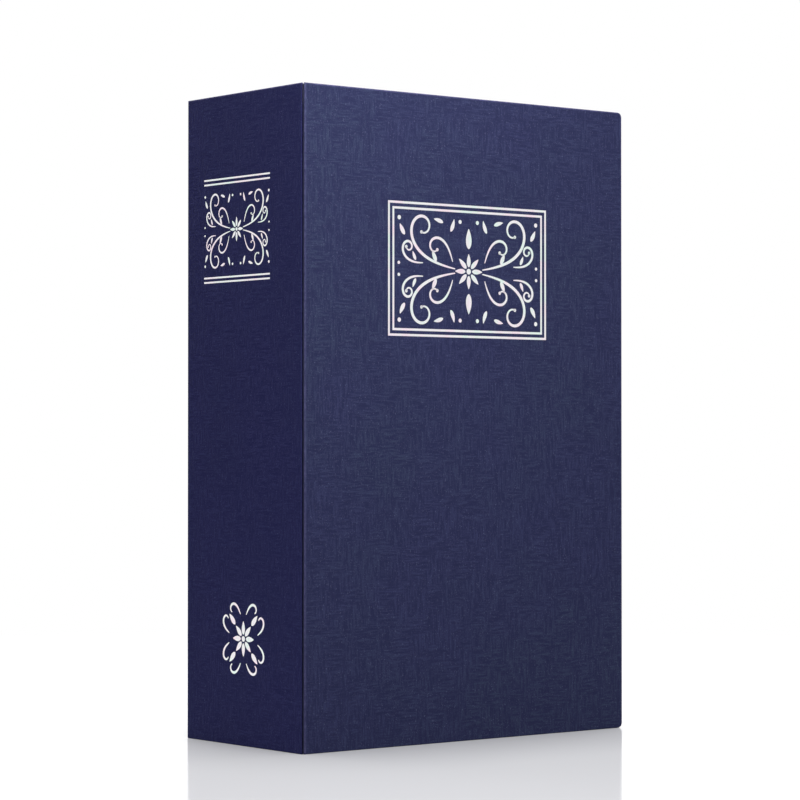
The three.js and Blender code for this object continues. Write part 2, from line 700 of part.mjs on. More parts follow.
// The cam lock: housing, nut and washer on the door, and what turns in it
function addLock() {
  const wafers = [...Array(WAFER_COUNT).keys()].map((i) => plugFront + WAFER_FIRST + i * WAFER_PITCH);
  const lockTurned = (profile) => turnedY(profile, LOCK_STEPS, lockX, lockZ);
  const lockRound = (radius, y) => roundY(radius, y, LOCK_STEPS, lockX, lockZ);
  const lockBlock = (halfX, y, halfZ) => block([lockX - halfX, lockX + halfX], y, [lockZ - halfZ, lockZ + halfZ]);
  const seat = panelFront - GLUE;

  const bezel = lockTurned([
    [0, plugFront],
    [BEZEL_TOP_RADIUS, plugFront],
    [BEZEL_RADIUS, seat - BEZEL_LAND],
    [BEZEL_RADIUS, seat],
    [0, seat],
  ]);
  const across = BARREL_RADIUS + OVERRUN;
  const barrel = cut(
    lockRound(BARREL_RADIUS, [plugFront + BEZEL_HEIGHT / 2, barrelEnd]),
    ...[-1, 1].map((side) => {
      const ends = [lockZ + side * BARREL_FLAT, lockZ + side * across].sort((a, b) => a - b);
      return block([lockX - across, lockX + across], [seat, barrelEnd + OVERRUN], ends);
    }),
  );
  const bore = lockRound(PLUG_RADIUS + PLUG_FIT, [plugFront - OVERRUN, barrelEnd + OVERRUN]);
  const counterbore = lockRound(PLUG_FACE_RADIUS + PLUG_FIT, [plugFront - OVERRUN, plugFront + PLUG_FACE + PLUG_FIT]);
  const groove = lockBlock(
    PLUG_RADIUS + WAFER_GROOVE,
    [plugFront + WAFER_FIRST - WAFER_PITCH / 2, barrelEnd + OVERRUN],
    WAFER_WIDTH / 2 + WAFER_FIT,
  );
  addPiece('lock_housing', cut(join(bezel, barrel), bore, counterbore, groove), finishes.chrome);

  const keyway = lockBlock(
    BLADE_WIDTH / 2 + KEYWAY_FIT,
    [plugFront - OVERRUN, plugFront + KEYWAY_DEPTH],
    BLADE / 2 + KEYWAY_FIT,
  );
  const slots = wafers.map((y) => lockBlock(
    PLUG_RADIUS + OVERRUN,
    [y - WAFER / 2 - WAFER_FIT, y + WAFER / 2 + WAFER_FIT],
    WAFER_WIDTH / 2 + WAFER_FIT,
  ));
  const tailEnd = camBack - TAIL_SHORT;
  addPiece('lock_plug', cut(
    join(
      lockRound(PLUG_FACE_RADIUS, [plugFront, plugFront + PLUG_FACE]),
      lockRound(PLUG_RADIUS, [plugFront + PLUG_FACE / 2, barrelEnd]),
      lockBlock(TAIL_SQUARE / 2, [barrelEnd - OVERRUN, tailEnd], TAIL_SQUARE / 2),
    ),
    keyway,
    ...slots,
    lockRound(SCREW_RADIUS + SCREW_FIT, [camBack + WASHER + GLUE - SCREW_LENGTH - SCREW_FIT, tailEnd + OVERRUN]),
  ), finishes.chrome);

  wafers.forEach((y, i) => {
    const plate = lockBlock(WAFER_LENGTH / 2, [y - WAFER / 2, y + WAFER / 2], WAFER_WIDTH / 2);
    const eye = lockBlock(
      BLADE_WIDTH / 2 + 2 * KEYWAY_FIT,
      [y - WAFER, y + WAFER],
      BLADE / 2 + 2 * KEYWAY_FIT,
    );
    addPiece(`lock_wafer_${i + 1}`, cut(plate, eye), finishes.brass);
  });

  const washerFront = panelBack + GLUE;
  const nutFront = washerFront + NUT_WASHER + GLUE;
  const through = lockRound(BARREL_RADIUS + NUT_GAP, [panelFront, barrelEnd]);
  addPiece('lock_washer', cut(
    lockRound(NUT_WASHER_RADIUS, [washerFront, washerFront + NUT_WASHER]),
    through,
  ), finishes.brightSteel);
  const hexagon = [...Array(6).keys()].map((i) => {
    const angle = (i + 1 / 2) * Math.PI / 3;
    const corner = NUT_FLATS / 2 / Math.cos(Math.PI / 6);
    return [lockX + corner * Math.cos(angle), lockZ + corner * Math.sin(angle)];
  });
  addPiece('lock_nut', cut(plateXZ(hexagon, [nutFront, nutFront + NUT]), through), finishes.brightSteel);

  // At rest the cam hangs down, clear of the strike plate: the lock is open
  const camTip = lockZ - CAM_REACH + CAM_WIDTH / 2;
  const camHole = TAIL_SQUARE / 2 + CAM_FIT;
  addPiece('lock_cam', cut(
    join(
      lockRound(CAM_WIDTH / 2, [camFront, camBack]),
      block([lockX - CAM_WIDTH / 2, lockX + CAM_WIDTH / 2], [camFront, camBack], [camTip, lockZ]),
      roundY(CAM_WIDTH / 2, [camFront, camBack], LOCK_STEPS, lockX, camTip),
    ),
    lockBlock(camHole, [camFront - OVERRUN, camBack + OVERRUN], camHole),
  ), finishes.brightSteel);

  const washerBack = camBack + GLUE + WASHER;
  addPiece('cam_washer', cut(
    lockRound(WASHER_RADIUS, [camBack + GLUE, washerBack]),
    lockRound(SCREW_RADIUS + SCREW_FIT, [camBack, washerBack + OVERRUN]),
  ), finishes.brightSteel);

  const headFront = washerBack + GLUE;
  const slot = lockBlock(
    SCREW_HEAD_RADIUS + OVERRUN,
    [headFront + SCREW_HEAD / 2, headFront + SCREW_HEAD + OVERRUN],
    SCREW_SLOT / 2,
  );
  addPiece('cam_screw', cut(
    join(
      lockRound(SCREW_RADIUS, [washerBack - SCREW_LENGTH, headFront + SCREW_HEAD / 2]),
      lockRound(SCREW_HEAD_RADIUS, [headFront, headFront + SCREW_HEAD]),
    ),
    slot,
  ), finishes.brightSteel);
}

addLock();

// One key, drawn with its ring hole at the origin and its blade along +X
function keyBladeSolid(depthShares) {
  const tip = bladeLine + BLADE_LENGTH;
  const half = BLADE_WIDTH / 2;
  const upper = [[bladeLine - TANG_LENGTH, half]];
  for (let i = CUT_COUNT - 1; i >= 0; i -= 1) {
    const middle = tip - CUT_FIRST - i * CUT_PITCH;
    const depth = CUT_DEEP * depthShares[i];
    upper.push([middle - CUT_FLAT / 2 - depth, half]);
    upper.push([middle - CUT_FLAT / 2, half - depth]);
    upper.push([middle + CUT_FLAT / 2, half - depth]);
    upper.push([middle + CUT_FLAT / 2 + depth, half]);
  }
  upper.push([tip - BLADE_TIP, half], [tip, half - BLADE_TIP]);
  const lower = upper.map(([x, z]) => [x, -z]).reverse();
  const blade = plateXZ([...upper, ...lower], [-BLADE / 2, BLADE / 2]);
  const grooves = [-1, 1].map((side) => {
    const face = side * BLADE / 2;
    const ends = [face - side * BLADE_GROOVE_DEPTH, face + side * OVERRUN].sort((a, b) => a - b);
    return block([bladeLine, tip + OVERRUN], ends, [-BLADE_GROOVE / 2, BLADE_GROOVE / 2]);
  });
  return cut(blade, ...grooves);
}

function keyHeadSolid() {
  const start = TONGUE_LENGTH;
  const end = start + HEAD_LENGTH;
  const half = HEAD_WIDTH / 2;
  const nose = NOSE_WIDTH / 2;
  const ring = (inset) => [
    [start + inset, -TONGUE_RADIUS + inset],
    [start + SHOULDER / 2 + inset, -half + inset],
    [end - SHOULDER - inset, -half + inset],
    [end - inset, -nose + inset],
    [end - inset, nose - inset],
    [end - SHOULDER - inset, half - inset],
    [start + SHOULDER / 2 + inset, half - inset],
    [start + inset, TONGUE_RADIUS - inset],
  ];
  const face = HEAD_THICKNESS / 2;
  const body = pile([
    { outline: ring(HEAD_CHAMFER), y: -face },
    { outline: ring(0), y: HEAD_CHAMFER - face },
    { outline: ring(0), y: face - HEAD_CHAMFER },
    { outline: ring(HEAD_CHAMFER), y: face },
  ]);
  const padMiddle = (start + end - SHOULDER / 2) / 2;
  const oval = (grow) => [...Array(KEY_STEPS).keys()].map((i) => {
    const angle = i * 2 * Math.PI / KEY_STEPS;
    return [
      padMiddle + (HEAD_PAD_LENGTH / 2 - grow) * Math.cos(angle),
      (HEAD_PAD_WIDTH / 2 - grow) * Math.sin(angle),
    ];
  });
  const pad = pile([
    { outline: oval(HEAD_PAD), y: -face - HEAD_PAD },
    { outline: oval(0), y: -face },
    { outline: oval(0), y: face },
    { outline: oval(HEAD_PAD), y: face + HEAD_PAD },
  ]);
  const flat = [-TONGUE / 2, TONGUE / 2];
  const tongue = join(
    roundY(TONGUE_RADIUS, flat, KEY_STEPS),
    block([0, start + SHOULDER], flat, [-TONGUE_RADIUS, TONGUE_RADIUS]),
  );
  const pocket = block(
    [bladeLine - TANG_LENGTH - TANG_FIT, end + OVERRUN],
    [-BLADE / 2 - TANG_FIT, BLADE / 2 + TANG_FIT],
    [-BLADE_WIDTH / 2 - TANG_FIT, BLADE_WIDTH / 2 + TANG_FIT],
  );
  const hole = roundY(RING_HOLE, [-HEAD_THICKNESS, HEAD_THICKNESS], KEY_STEPS);
  return cut(join(body, pad, tongue), hole, pocket);
}

// The two keys are cut alike. They stand on their long edges side by side.
const cutDepthShares = [0.55, 1, 0.3, 0.8, 0.45];

function addKey(name, y) {
  const group = new THREE.Group();
  group.position.set(RING_HOLE_X, y, keyZ);
  addPiece(`${name}_blade`, keyBladeSolid(cutDepthShares), finishes.nickel, group);
  addPiece(`${name}_head`, keyHeadSolid(), finishes.keyPlastic, group);
  model.add(group);
}

addKey('key_a', KEYS_Y - KEY_SPACING / 2);
addKey('key_b', KEYS_Y + KEY_SPACING / 2);

// The split ring: one wire wound twice round, through both keys' holes, sloping
// down to rest its far side on the floor of the box
function addKeyRing() {
  const pitch = 2 * RING_WIRE + RING_TURN_GAP;
  const chord = (y) => Math.sqrt(RING_RADIUS ** 2 - y ** 2);
  const reach = (chord((KEY_SPACING - TONGUE) / 2) + chord((KEY_SPACING + TONGUE) / 2)) / 2;
  const along = reach + RING_RADIUS + RING_WIRE;
  const across = pitch * RING_TURNS / 2 + RING_WIRE;
  const drop = HEAD_WIDTH / 2;
  const slope = Math.asin(drop / Math.hypot(along, across)) - Math.atan2(across, along);
  const outward = new THREE.Vector3(-Math.cos(slope), 0, -Math.sin(slope));
  const sideways = new THREE.Vector3(0, 1, 0);
  const normal = new THREE.Vector3().crossVectors(outward, sideways);
  const middle = new THREE.Vector3(RING_HOLE_X, KEYS_Y, keyZ).addScaledVector(outward, reach);

  const steps = RING_STEPS * RING_TURNS;
  const centre = (step) => {
    const angle = 2 * Math.PI * step / RING_STEPS;
    return middle.clone()
      .addScaledVector(outward, RING_RADIUS * Math.cos(angle))
      .addScaledVector(sideways, RING_RADIUS * Math.sin(angle))
      .addScaledVector(normal, pitch * (step / RING_STEPS - RING_TURNS / 2));
  };
  const positions = [];
  for (let step = 0; step <= steps; step += 1) {
    const angle = 2 * Math.PI * step / RING_STEPS;
    const point = centre(step);
    const radial = new THREE.Vector3()
      .addScaledVector(outward, Math.cos(angle))
      .addScaledVector(sideways, Math.sin(angle));
    for (let side = 0; side < RING_SIDES; side += 1) {
      const turn = 2 * Math.PI * side / RING_SIDES;
      const corner = point.clone()
        .addScaledVector(radial, RING_WIRE * Math.cos(turn))
        .addScaledVector(normal, RING_WIRE * Math.sin(turn));
      positions.push(corner.x, corner.y, corner.z);
    }
  }
  const index = [];
  for (let step = 0; step < steps; step += 1) {
    for (let side = 0; side < RING_SIDES; side += 1) {
      const a = step * RING_SIDES + side;
      const b = step * RING_SIDES + (side + 1) % RING_SIDES;
      index.push(a, b, a + RING_SIDES, b, b + RING_SIDES, a + RING_SIDES);
    }
  }
  const last = steps * RING_SIDES;
  for (let side = 1; side + 1 < RING_SIDES; side += 1) {
    index.push(0, side + 1, side, last, last + side, last + side + 1);
  }
  const geometry = new THREE.BufferGeometry();
  geometry.setAttribute('position', new THREE.Float32BufferAttribute(positions, 3));
  geometry.setIndex(index);
  const wire = solidOf(geometry);
  if (wire.volume() < 0) {
    geometry.setIndex(index.reverse());
  }
  addPiece('key_ring', solidOf(geometry), finishes.brightSteel);

  // The least gap between the wire's two turns, measured on its points
  let least = Infinity;
  for (let from = 0; from <= steps; from += 1) {
    for (let to = from + RING_STEPS / 2; to <= steps; to += 1) {
      least = Math.min(least, centre(from).distanceTo(centre(to)) - 2 * RING_WIRE);
    }
  }
  console.log(`key_ring: least gap between its turns ${least.toFixed(2)} mm`);
}

addKeyRing();

export default model;
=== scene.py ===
"""A book diversion safe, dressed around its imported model.

The hardback case stands closed, with its spine towards -X, its front cover
towards -Y and its fore-edge towards +X. Inside are the page block, the steel
box, its hinged door with the cam lock, and two keys on a split ring. Sizes are
in metres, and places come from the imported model.
"""

import json
import logging
import math
from dataclasses import dataclass, field
from enum import Enum
from typing import Any, Callable

import bmesh
import bpy
import numpy as np
from bpy.types import Material, NodeSocket, Object
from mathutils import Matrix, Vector


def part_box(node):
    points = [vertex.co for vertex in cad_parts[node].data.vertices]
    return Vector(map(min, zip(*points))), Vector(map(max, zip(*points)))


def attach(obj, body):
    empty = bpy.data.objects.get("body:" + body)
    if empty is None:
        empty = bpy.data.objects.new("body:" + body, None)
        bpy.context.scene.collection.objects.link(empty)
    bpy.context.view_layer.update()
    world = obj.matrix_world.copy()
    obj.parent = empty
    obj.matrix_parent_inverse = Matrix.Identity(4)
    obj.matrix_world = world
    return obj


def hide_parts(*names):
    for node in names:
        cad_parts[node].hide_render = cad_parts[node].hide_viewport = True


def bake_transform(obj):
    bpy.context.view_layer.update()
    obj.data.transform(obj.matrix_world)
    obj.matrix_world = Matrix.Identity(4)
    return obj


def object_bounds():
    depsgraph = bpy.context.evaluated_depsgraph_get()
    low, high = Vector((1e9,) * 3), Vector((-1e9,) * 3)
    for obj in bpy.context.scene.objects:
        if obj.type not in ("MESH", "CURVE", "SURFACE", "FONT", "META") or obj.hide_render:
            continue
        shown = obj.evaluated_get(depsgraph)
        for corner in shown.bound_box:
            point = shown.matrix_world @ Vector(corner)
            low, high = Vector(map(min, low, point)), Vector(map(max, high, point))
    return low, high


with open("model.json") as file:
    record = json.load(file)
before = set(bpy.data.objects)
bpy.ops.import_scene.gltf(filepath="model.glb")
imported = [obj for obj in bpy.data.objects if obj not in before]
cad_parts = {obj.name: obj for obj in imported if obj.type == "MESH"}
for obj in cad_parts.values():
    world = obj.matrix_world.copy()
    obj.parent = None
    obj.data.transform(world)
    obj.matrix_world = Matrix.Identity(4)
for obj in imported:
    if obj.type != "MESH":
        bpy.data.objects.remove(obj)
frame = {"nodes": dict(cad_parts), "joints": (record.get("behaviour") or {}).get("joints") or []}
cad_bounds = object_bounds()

MM = 0.001
MERGED_WITHIN = 0.0005 * MM
DISSOLVED_UNDER = 0.0002 * MM
LOG = logging.getLogger("book_safe")
Array = np.ndarray
Pair = tuple[float, float]
Triple = tuple[float, float, float]
Colour = tuple[int, int, int]
Stroke = tuple[Array, Array]


class Body(str, Enum):
    """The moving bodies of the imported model."""

    CASE = "case"
    COVER = "front_cover"
    DOOR = "door"
    PLUG = "lock_plug"
    RING = "key_ring"
    KEY_A = "key_a"
    KEY_B = "key_b"


class Slot(str, Enum):
    """The record's material slots."""

    COVER_PAPER = "cover_paper"
    ENDPAPER = "endpaper"
    CLOTH = "joint_cloth"
    PAGES = "pages"
    COATED = "coated_steel"
    BRIGHT = "bright_steel"
    CHROME = "lock_chrome"
    BLADE = "key_blade"
    PLASTIC = "key_plastic"
    RING = "ring_steel"


class Edge(Enum):
    """How a board's paper ends: turned round the edge, or mitred at a crease."""

    TURNED = "turned"
    MITRED = "mitred"


class Sharp(float, Enum):
    """The degrees that an edge has to turn to stay sharp."""

    HEXAGON = 25
    THIN = 32
    SHEET_METAL = 38
    PLAIN = 40
    MOULDED = 42
    CUT = 50
    ROUNDED = 60


def joint_place(name: str) -> Array:
    """The point in metres that the axis of the record's joint of this name passes through."""
    return np.array(next(j["pos_m"] for j in frame["joints"] if j["name"] == name))


def node_box(name: str) -> tuple[Array, Array]:
    """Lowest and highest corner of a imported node, as arrays."""
    low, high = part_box(name)
    return np.array(low), np.array(high)


# Plane geometry: every function works on whole arrays of points


def circled(centre: Any, radius: Array | float, angle: Array) -> Array:
    """Points at an angle round a centre: the centre plus radius times (cos, sin)."""
    return np.stack([centre[0] + radius * np.cos(angle), centre[1] + radius * np.sin(angle)], -1)


def arc(centre: Pair, radius: float, start: float, end: float, steps: int) -> Array:
    """The steps + 1 points of an arc from one angle in degrees to another, evenly spaced."""
    return circled(centre, radius, np.radians(np.linspace(start, end, steps + 1)))


def filleted(
    points: list[Pair], radii: list[float], steps: int = 5, support: float = 0.0,
) -> Array:
    """A polyline with its corners rounded by arcs that touch both legs.

    Each arc's tangent length is radius times the tangent of half the turn, cut
    to 0.49 of the shorter leg, and the arc is swept between the two tangent points.

    Args:
        points: Corners of the open polyline.
        radii: A radius for each corner. The ends' are not used.
        steps: Chords in each arc.
        support: How far beyond an arc's ends a further point keeps the leg's shading flat.
    Returns:
        The rounded polyline's points.
    """
    corners = np.array(points, float)
    rows = [corners[:1]]
    for before, here, after, radius in zip(corners[:-2], corners[1:-1], corners[2:], radii[1:-1]):
        back, ahead = before - here, after - here
        legs = np.linalg.norm(back), np.linalg.norm(ahead)
        back, ahead = back / legs[0], ahead / legs[1]
        half = math.acos(max(-1.0, min(1.0, float(back @ ahead)))) / 2
        if radius <= 0 or half > math.pi / 2 - 1e-3:
            rows.append(here[None])
            continue
        reach = min(radius / math.tan(half), 0.49 * min(legs))
        radius = reach * math.tan(half)
        middle = here + (back + ahead) / np.linalg.norm(back + ahead) * math.hypot(reach, radius)
        first, last = here + back * reach - middle, here + ahead * reach - middle
        sweep = math.atan2(first[0] * last[1] - first[1] * last[0], float(first @ last))
        angle = np.linspace(0, sweep, steps + 1)
        turned = np.stack([
            first[0] * np.cos(angle) - first[1] * np.sin(angle),
            first[0] * np.sin(angle) + first[1] * np.cos(angle),
        ], 1)
        if support and legs[0] > 2 * (reach + support):
            rows.append((here + back * (reach + support))[None])
        rows.append(middle + turned)
        if support and legs[1] > 2 * (reach + support):
            rows.append((here + ahead * (reach + support))[None])
    rows.append(corners[-1:])
    return np.concatenate(rows)


def offset_line(points: list[Pair], distance: float) -> list[Pair]:
    """A polyline moved sideways to its left, with its corners mitred.

    Args:
        points: Corners of the open polyline.
        distance: How far it moves.
    Returns:
        The moved corners.
    """
    line = np.array(points, float)
    legs = np.diff(line, axis=0)
    normals = np.stack([-legs[:, 1], legs[:, 0]], 1) / np.linalg.norm(legs, axis=1)[:, None]
    first = np.concatenate([normals[:1], normals])
    last = np.concatenate([normals, normals[-1:]])
    mitre = (first + last) / (1 + np.sum(first * last, axis=1))[:, None]
    return [tuple(point) for point in line + mitre * distance]


def side_normals(path: Array) -> Array:
    """Unit vectors to a plane path's left, square to its tangent at each point."""
    tangent = np.gradient(path, axis=0)
    length = np.maximum(np.linalg.norm(tangent, axis=1), 1e-12)
    return np.stack([-tangent[:, 1], tangent[:, 0]], 1) / length[:, None]


def full_turn(steps: int) -> Array:
    """Evenly spaced angles round a full turn, which stop one step before its end."""
    return np.linspace(0, 2 * np.pi, steps, endpoint=False)


def spread(points: Array, spacing: float) -> Array:
    """A polyline with points added so that no chord is longer than spacing.

    Args:
        points: The polyline's points.
        spacing: The longest chord that stays.
    Returns:
        The denser polyline, which keeps every given point.
    """
    length = np.linalg.norm(np.diff(points, axis=0), axis=1)
    run = np.concatenate([[0], np.cumsum(length)])
    extra = [np.linspace(a, b, max(int((b - a) / spacing), 0) + 2)[:-1] for a, b in zip(run[:-1], run[1:])]
    places = np.concatenate([*extra, run[-1:]])
    return np.stack([np.interp(places, run, points[:, axis]) for axis in range(points.shape[1])], 1)


@dataclass
class Rim:
    """The columns of points round a rectangle with round corners.

    Every ring drawn on the same rim has its points at the same corner angles
    and at the same shares of its sides, so rings of any size join up. The order
    is low right, high right, high left and low left corner, each followed by the
    side that leads to the next.
    """

    corner_angles: list[Array]
    side_shares: list[Array]

    def ring(self, left: float, right: float, low: float, high: float, radius: float) -> Array:
        """The ring of a rectangle with these sides and this corner radius."""
        across = [right - radius, right - radius, left + radius, left + radius]
        up = [low + radius, high - radius, high - radius, low + radius]
        corners = [circled((x, z), radius, a) for x, z, a in zip(across, up, self.corner_angles)]
        rows = []
        for index, corner in enumerate(corners):
            following = corners[(index + 1) % 4][0]
            share = self.side_shares[index][:, None]
            rows += [corner, corner[-1] * (1 - share) + following * share]
        return np.concatenate(rows)


def plain_rim(corner_steps: int, side_steps: int) -> Rim:
    """A rim whose corners have corner_steps chords and whose sides have side_steps."""
    angles = [np.radians(np.linspace(-90, 0, corner_steps + 1) + 90 * i) for i in range(4)]
    return Rim(angles, [np.linspace(0, 1, side_steps + 1)[1:-1]] * 4)


def softened(low: float, high: float, edge: float, steps: int) -> tuple[Array, Array]:
    """The rings that round both edges of a flat piece by quarter circles.

    The first and last rings lie three radii in, which keeps the faces' shading flat.

    Args:
        low: Level of the lower face.
        high: Level of the upper face.
        edge: Radius of the rounding.
        steps: Chords in each quarter circle.
    Returns:
        Each ring's inset from the outline, and its level.
    """
    quarter = np.radians(np.linspace(0, 90, steps + 1))
    narrowing, falling = edge * (1 - np.sin(quarter)), edge * (1 - np.cos(quarter))
    inset = np.concatenate([[edge * 3], narrowing, falling, [edge * 3]])
    return inset, np.concatenate([[low], low + falling, high - narrowing, [high]])


# Meshes


def placed(name: str, data: bpy.types.ID) -> Object:
    """A new object with this data, linked to the scene and at its origin."""
    thing = bpy.data.objects.new(name, data)
    bpy.context.scene.collection.objects.link(thing)
    return thing


@dataclass
class Shell:
    """One piece's mesh, gathered from closed grids of points."""

    name: str
    points: list[Array] = field(default_factory=list)
    faces: list[Any] = field(default_factory=list)
    count: int = 0

    def grid(self, rows: Array, closed: bool = False, capped: bool = True) -> "Shell":
        """Adds a surface of rows and columns of points, whose columns close into rings.

        Args:
            rows: Points as rows x columns x 3.
            closed: Whether the last row joins the first.
            capped: Whether the first and last rings are filled, unless closed.
        Returns:
            The shell itself.
        """
        height, width = rows.shape[:2]
        index = np.arange(height * width).reshape(height, width) + self.count
        upper = np.roll(index, -1, 0) if closed else index[1:]
        lower = index if closed else index[:-1]
        quads = np.stack([lower, np.roll(lower, -1, 1), np.roll(upper, -1, 1), upper], -1)
        self.faces += quads.reshape(-1, 4).tolist()
        if capped and not closed:
            self.faces += [index[0][::-1].tolist(), index[-1].tolist()]
        self.points.append(rows.reshape(-1, 3))
        self.count += height * width
        return self

    def build(self, sharp: Sharp = Sharp.PLAIN) -> Object:
        """Makes the object: doubles merged, normals outwards, smooth but for sharp edges.

        Points that no face uses, such as those of cut-out cells, are deleted.

        Args:
            sharp: Edges that turn more than this stay sharp.
        Returns:
            The new object, at the origin.
        """
        mesh = bpy.data.meshes.new(self.name)
        mesh.from_pydata(np.concatenate(self.points).tolist(), [], self.faces)
        work = bmesh.new()
        work.from_mesh(mesh)
        bmesh.ops.remove_doubles(work, verts=work.verts, dist=MERGED_WITHIN)
        bmesh.ops.dissolve_degenerate(work, edges=work.edges, dist=DISSOLVED_UNDER)
        bmesh.ops.recalc_face_normals(work, faces=work.faces)
        bmesh.ops.delete(work, geom=[v for v in work.verts if not v.link_faces], context="VERTS")
        work.to_mesh(mesh)
        work.free()
        mesh.shade_smooth()
        mesh.set_sharp_from_angle(angle=math.radians(sharp))
        return placed(self.name, mesh)


def lifted(flat: Array, level: Array | float, axis: int = 1) -> Array:
    """Points drawn in a plane, with their place along the third axis (0, 1 or 2) set in."""
    return np.insert(flat, axis, level, -1)


def turned(profile: Array, centre: Array, steps: int, axis: str = "y") -> Array:
    """A profile of (radius, height) points spun round an axis.

    The point at angle a is the centre plus radius times (cos a, sin a) across the
    axis and height along it.

    Args:
        profile: Points as radius and place along the axis.
        centre: A point on the axis. Its own place along the axis isn't used.
        steps: Points round the axis.
        axis: The axis as x, y or z.
    Returns:
        A grid whose columns close into rings.
    """
    number = "xyz".index(axis)
    flat = circled(np.delete(centre, number), profile[:, :1], full_turn(steps))
    return lifted(flat, profile[:, 1:], number)


def tube(path: Array, radii: Array, sides: int, flatness: float = 1.0) -> Array:
    """A round section carried along a path.

    At each point the section stands square to the path's tangent: its points are
    the path plus radius times (cos a x first normal + flatness x sin a x second
    normal). The first normal is the part of the vector to the path's middle that
    is square to the tangent.

    Args:
        path: Points of the middle line, N x 3.
        radii: The radius at each point.
        sides: Points round the section.
        flatness: Height of the section over its width.
    Returns:
        A grid whose columns close into rings.
    """
    tangent = np.gradient(path, axis=0)
    tangent /= np.linalg.norm(tangent, axis=1)[:, None]
    inward = path.mean(0) - path
    first = inward - np.sum(inward * tangent, axis=1)[:, None] * tangent
    first /= np.linalg.norm(first, axis=1)[:, None]
    second = np.cross(tangent, first)
    angle = full_turn(sides)[None, :, None]
    across = first[:, None] * np.cos(angle) + flatness * second[:, None] * np.sin(angle)
    return path[:, None] + across * radii[:, None, None]


def folded(shell: Shell, path: Array, thickness: Array, levels: Array, kept: Array) -> Shell:
    """Adds sheet metal folded along a path in X and Y, with cut-outs.

    The sheet's two faces lie half its thickness to either side of the path, along
    the path's normal. A cell between two path points and two levels is there where
    kept says so, and a wall closes the sheet wherever a cell is and its neighbour isn't.

    Args:
        shell: The mesh to add to.
        path: Points of the sheet's middle line in X and Y.
        thickness: The sheet's thickness at each point.
        levels: Places along Z where the cells are divided.
        kept: Whether each cell is there, (points - 1) x (levels - 1).
    Returns:
        The shell itself.
    """
    half = side_normals(path) * thickness[:, None] / 2
    faces_xy = np.stack([path - half, path + half])
    flat = np.broadcast_to(faces_xy[:, :, None], (2, len(path), len(levels), 2))
    points = lifted(flat, levels, 2)
    index = np.arange(points[..., 0].size).reshape(points.shape[:-1]) + shell.count

    def sheet(side: int) -> Array:
        """Quads of one face of the sheet, for the cells that are kept."""
        layer = index[side]
        cells = np.stack([layer[:-1, :-1], layer[1:, :-1], layer[1:, 1:], layer[:-1, 1:]], -1)
        return cells[kept]

    padded = np.pad(kept, 1)
    along = padded[1:-1, 1:] != padded[1:-1, :-1]
    across = padded[1:, 1:-1] != padded[:-1, 1:-1]
    front, back = index
    ends = np.stack([front[:-1], front[1:], back[1:], back[:-1]], -1)[along]
    sides = np.stack([front[:, :-1], front[:, 1:], back[:, 1:], back[:, :-1]], -1)[across]
    shell.faces += np.concatenate([sheet(0), sheet(1), ends, sides]).tolist()
    shell.points.append(points.reshape(-1, 3))
    shell.count += points[..., 0].size
    return shell


# Materials


def linear(red: int, green: int, blue: int) -> Triple:
    """A display colour of 0 to 255 as linear light."""
    shares = np.array([red, green, blue]) / 255
    values = np.where(shares <= 0.04045, shares / 12.92, ((shares + 0.055) / 1.055) ** 2.4)
    return tuple(float(value) for value in values)


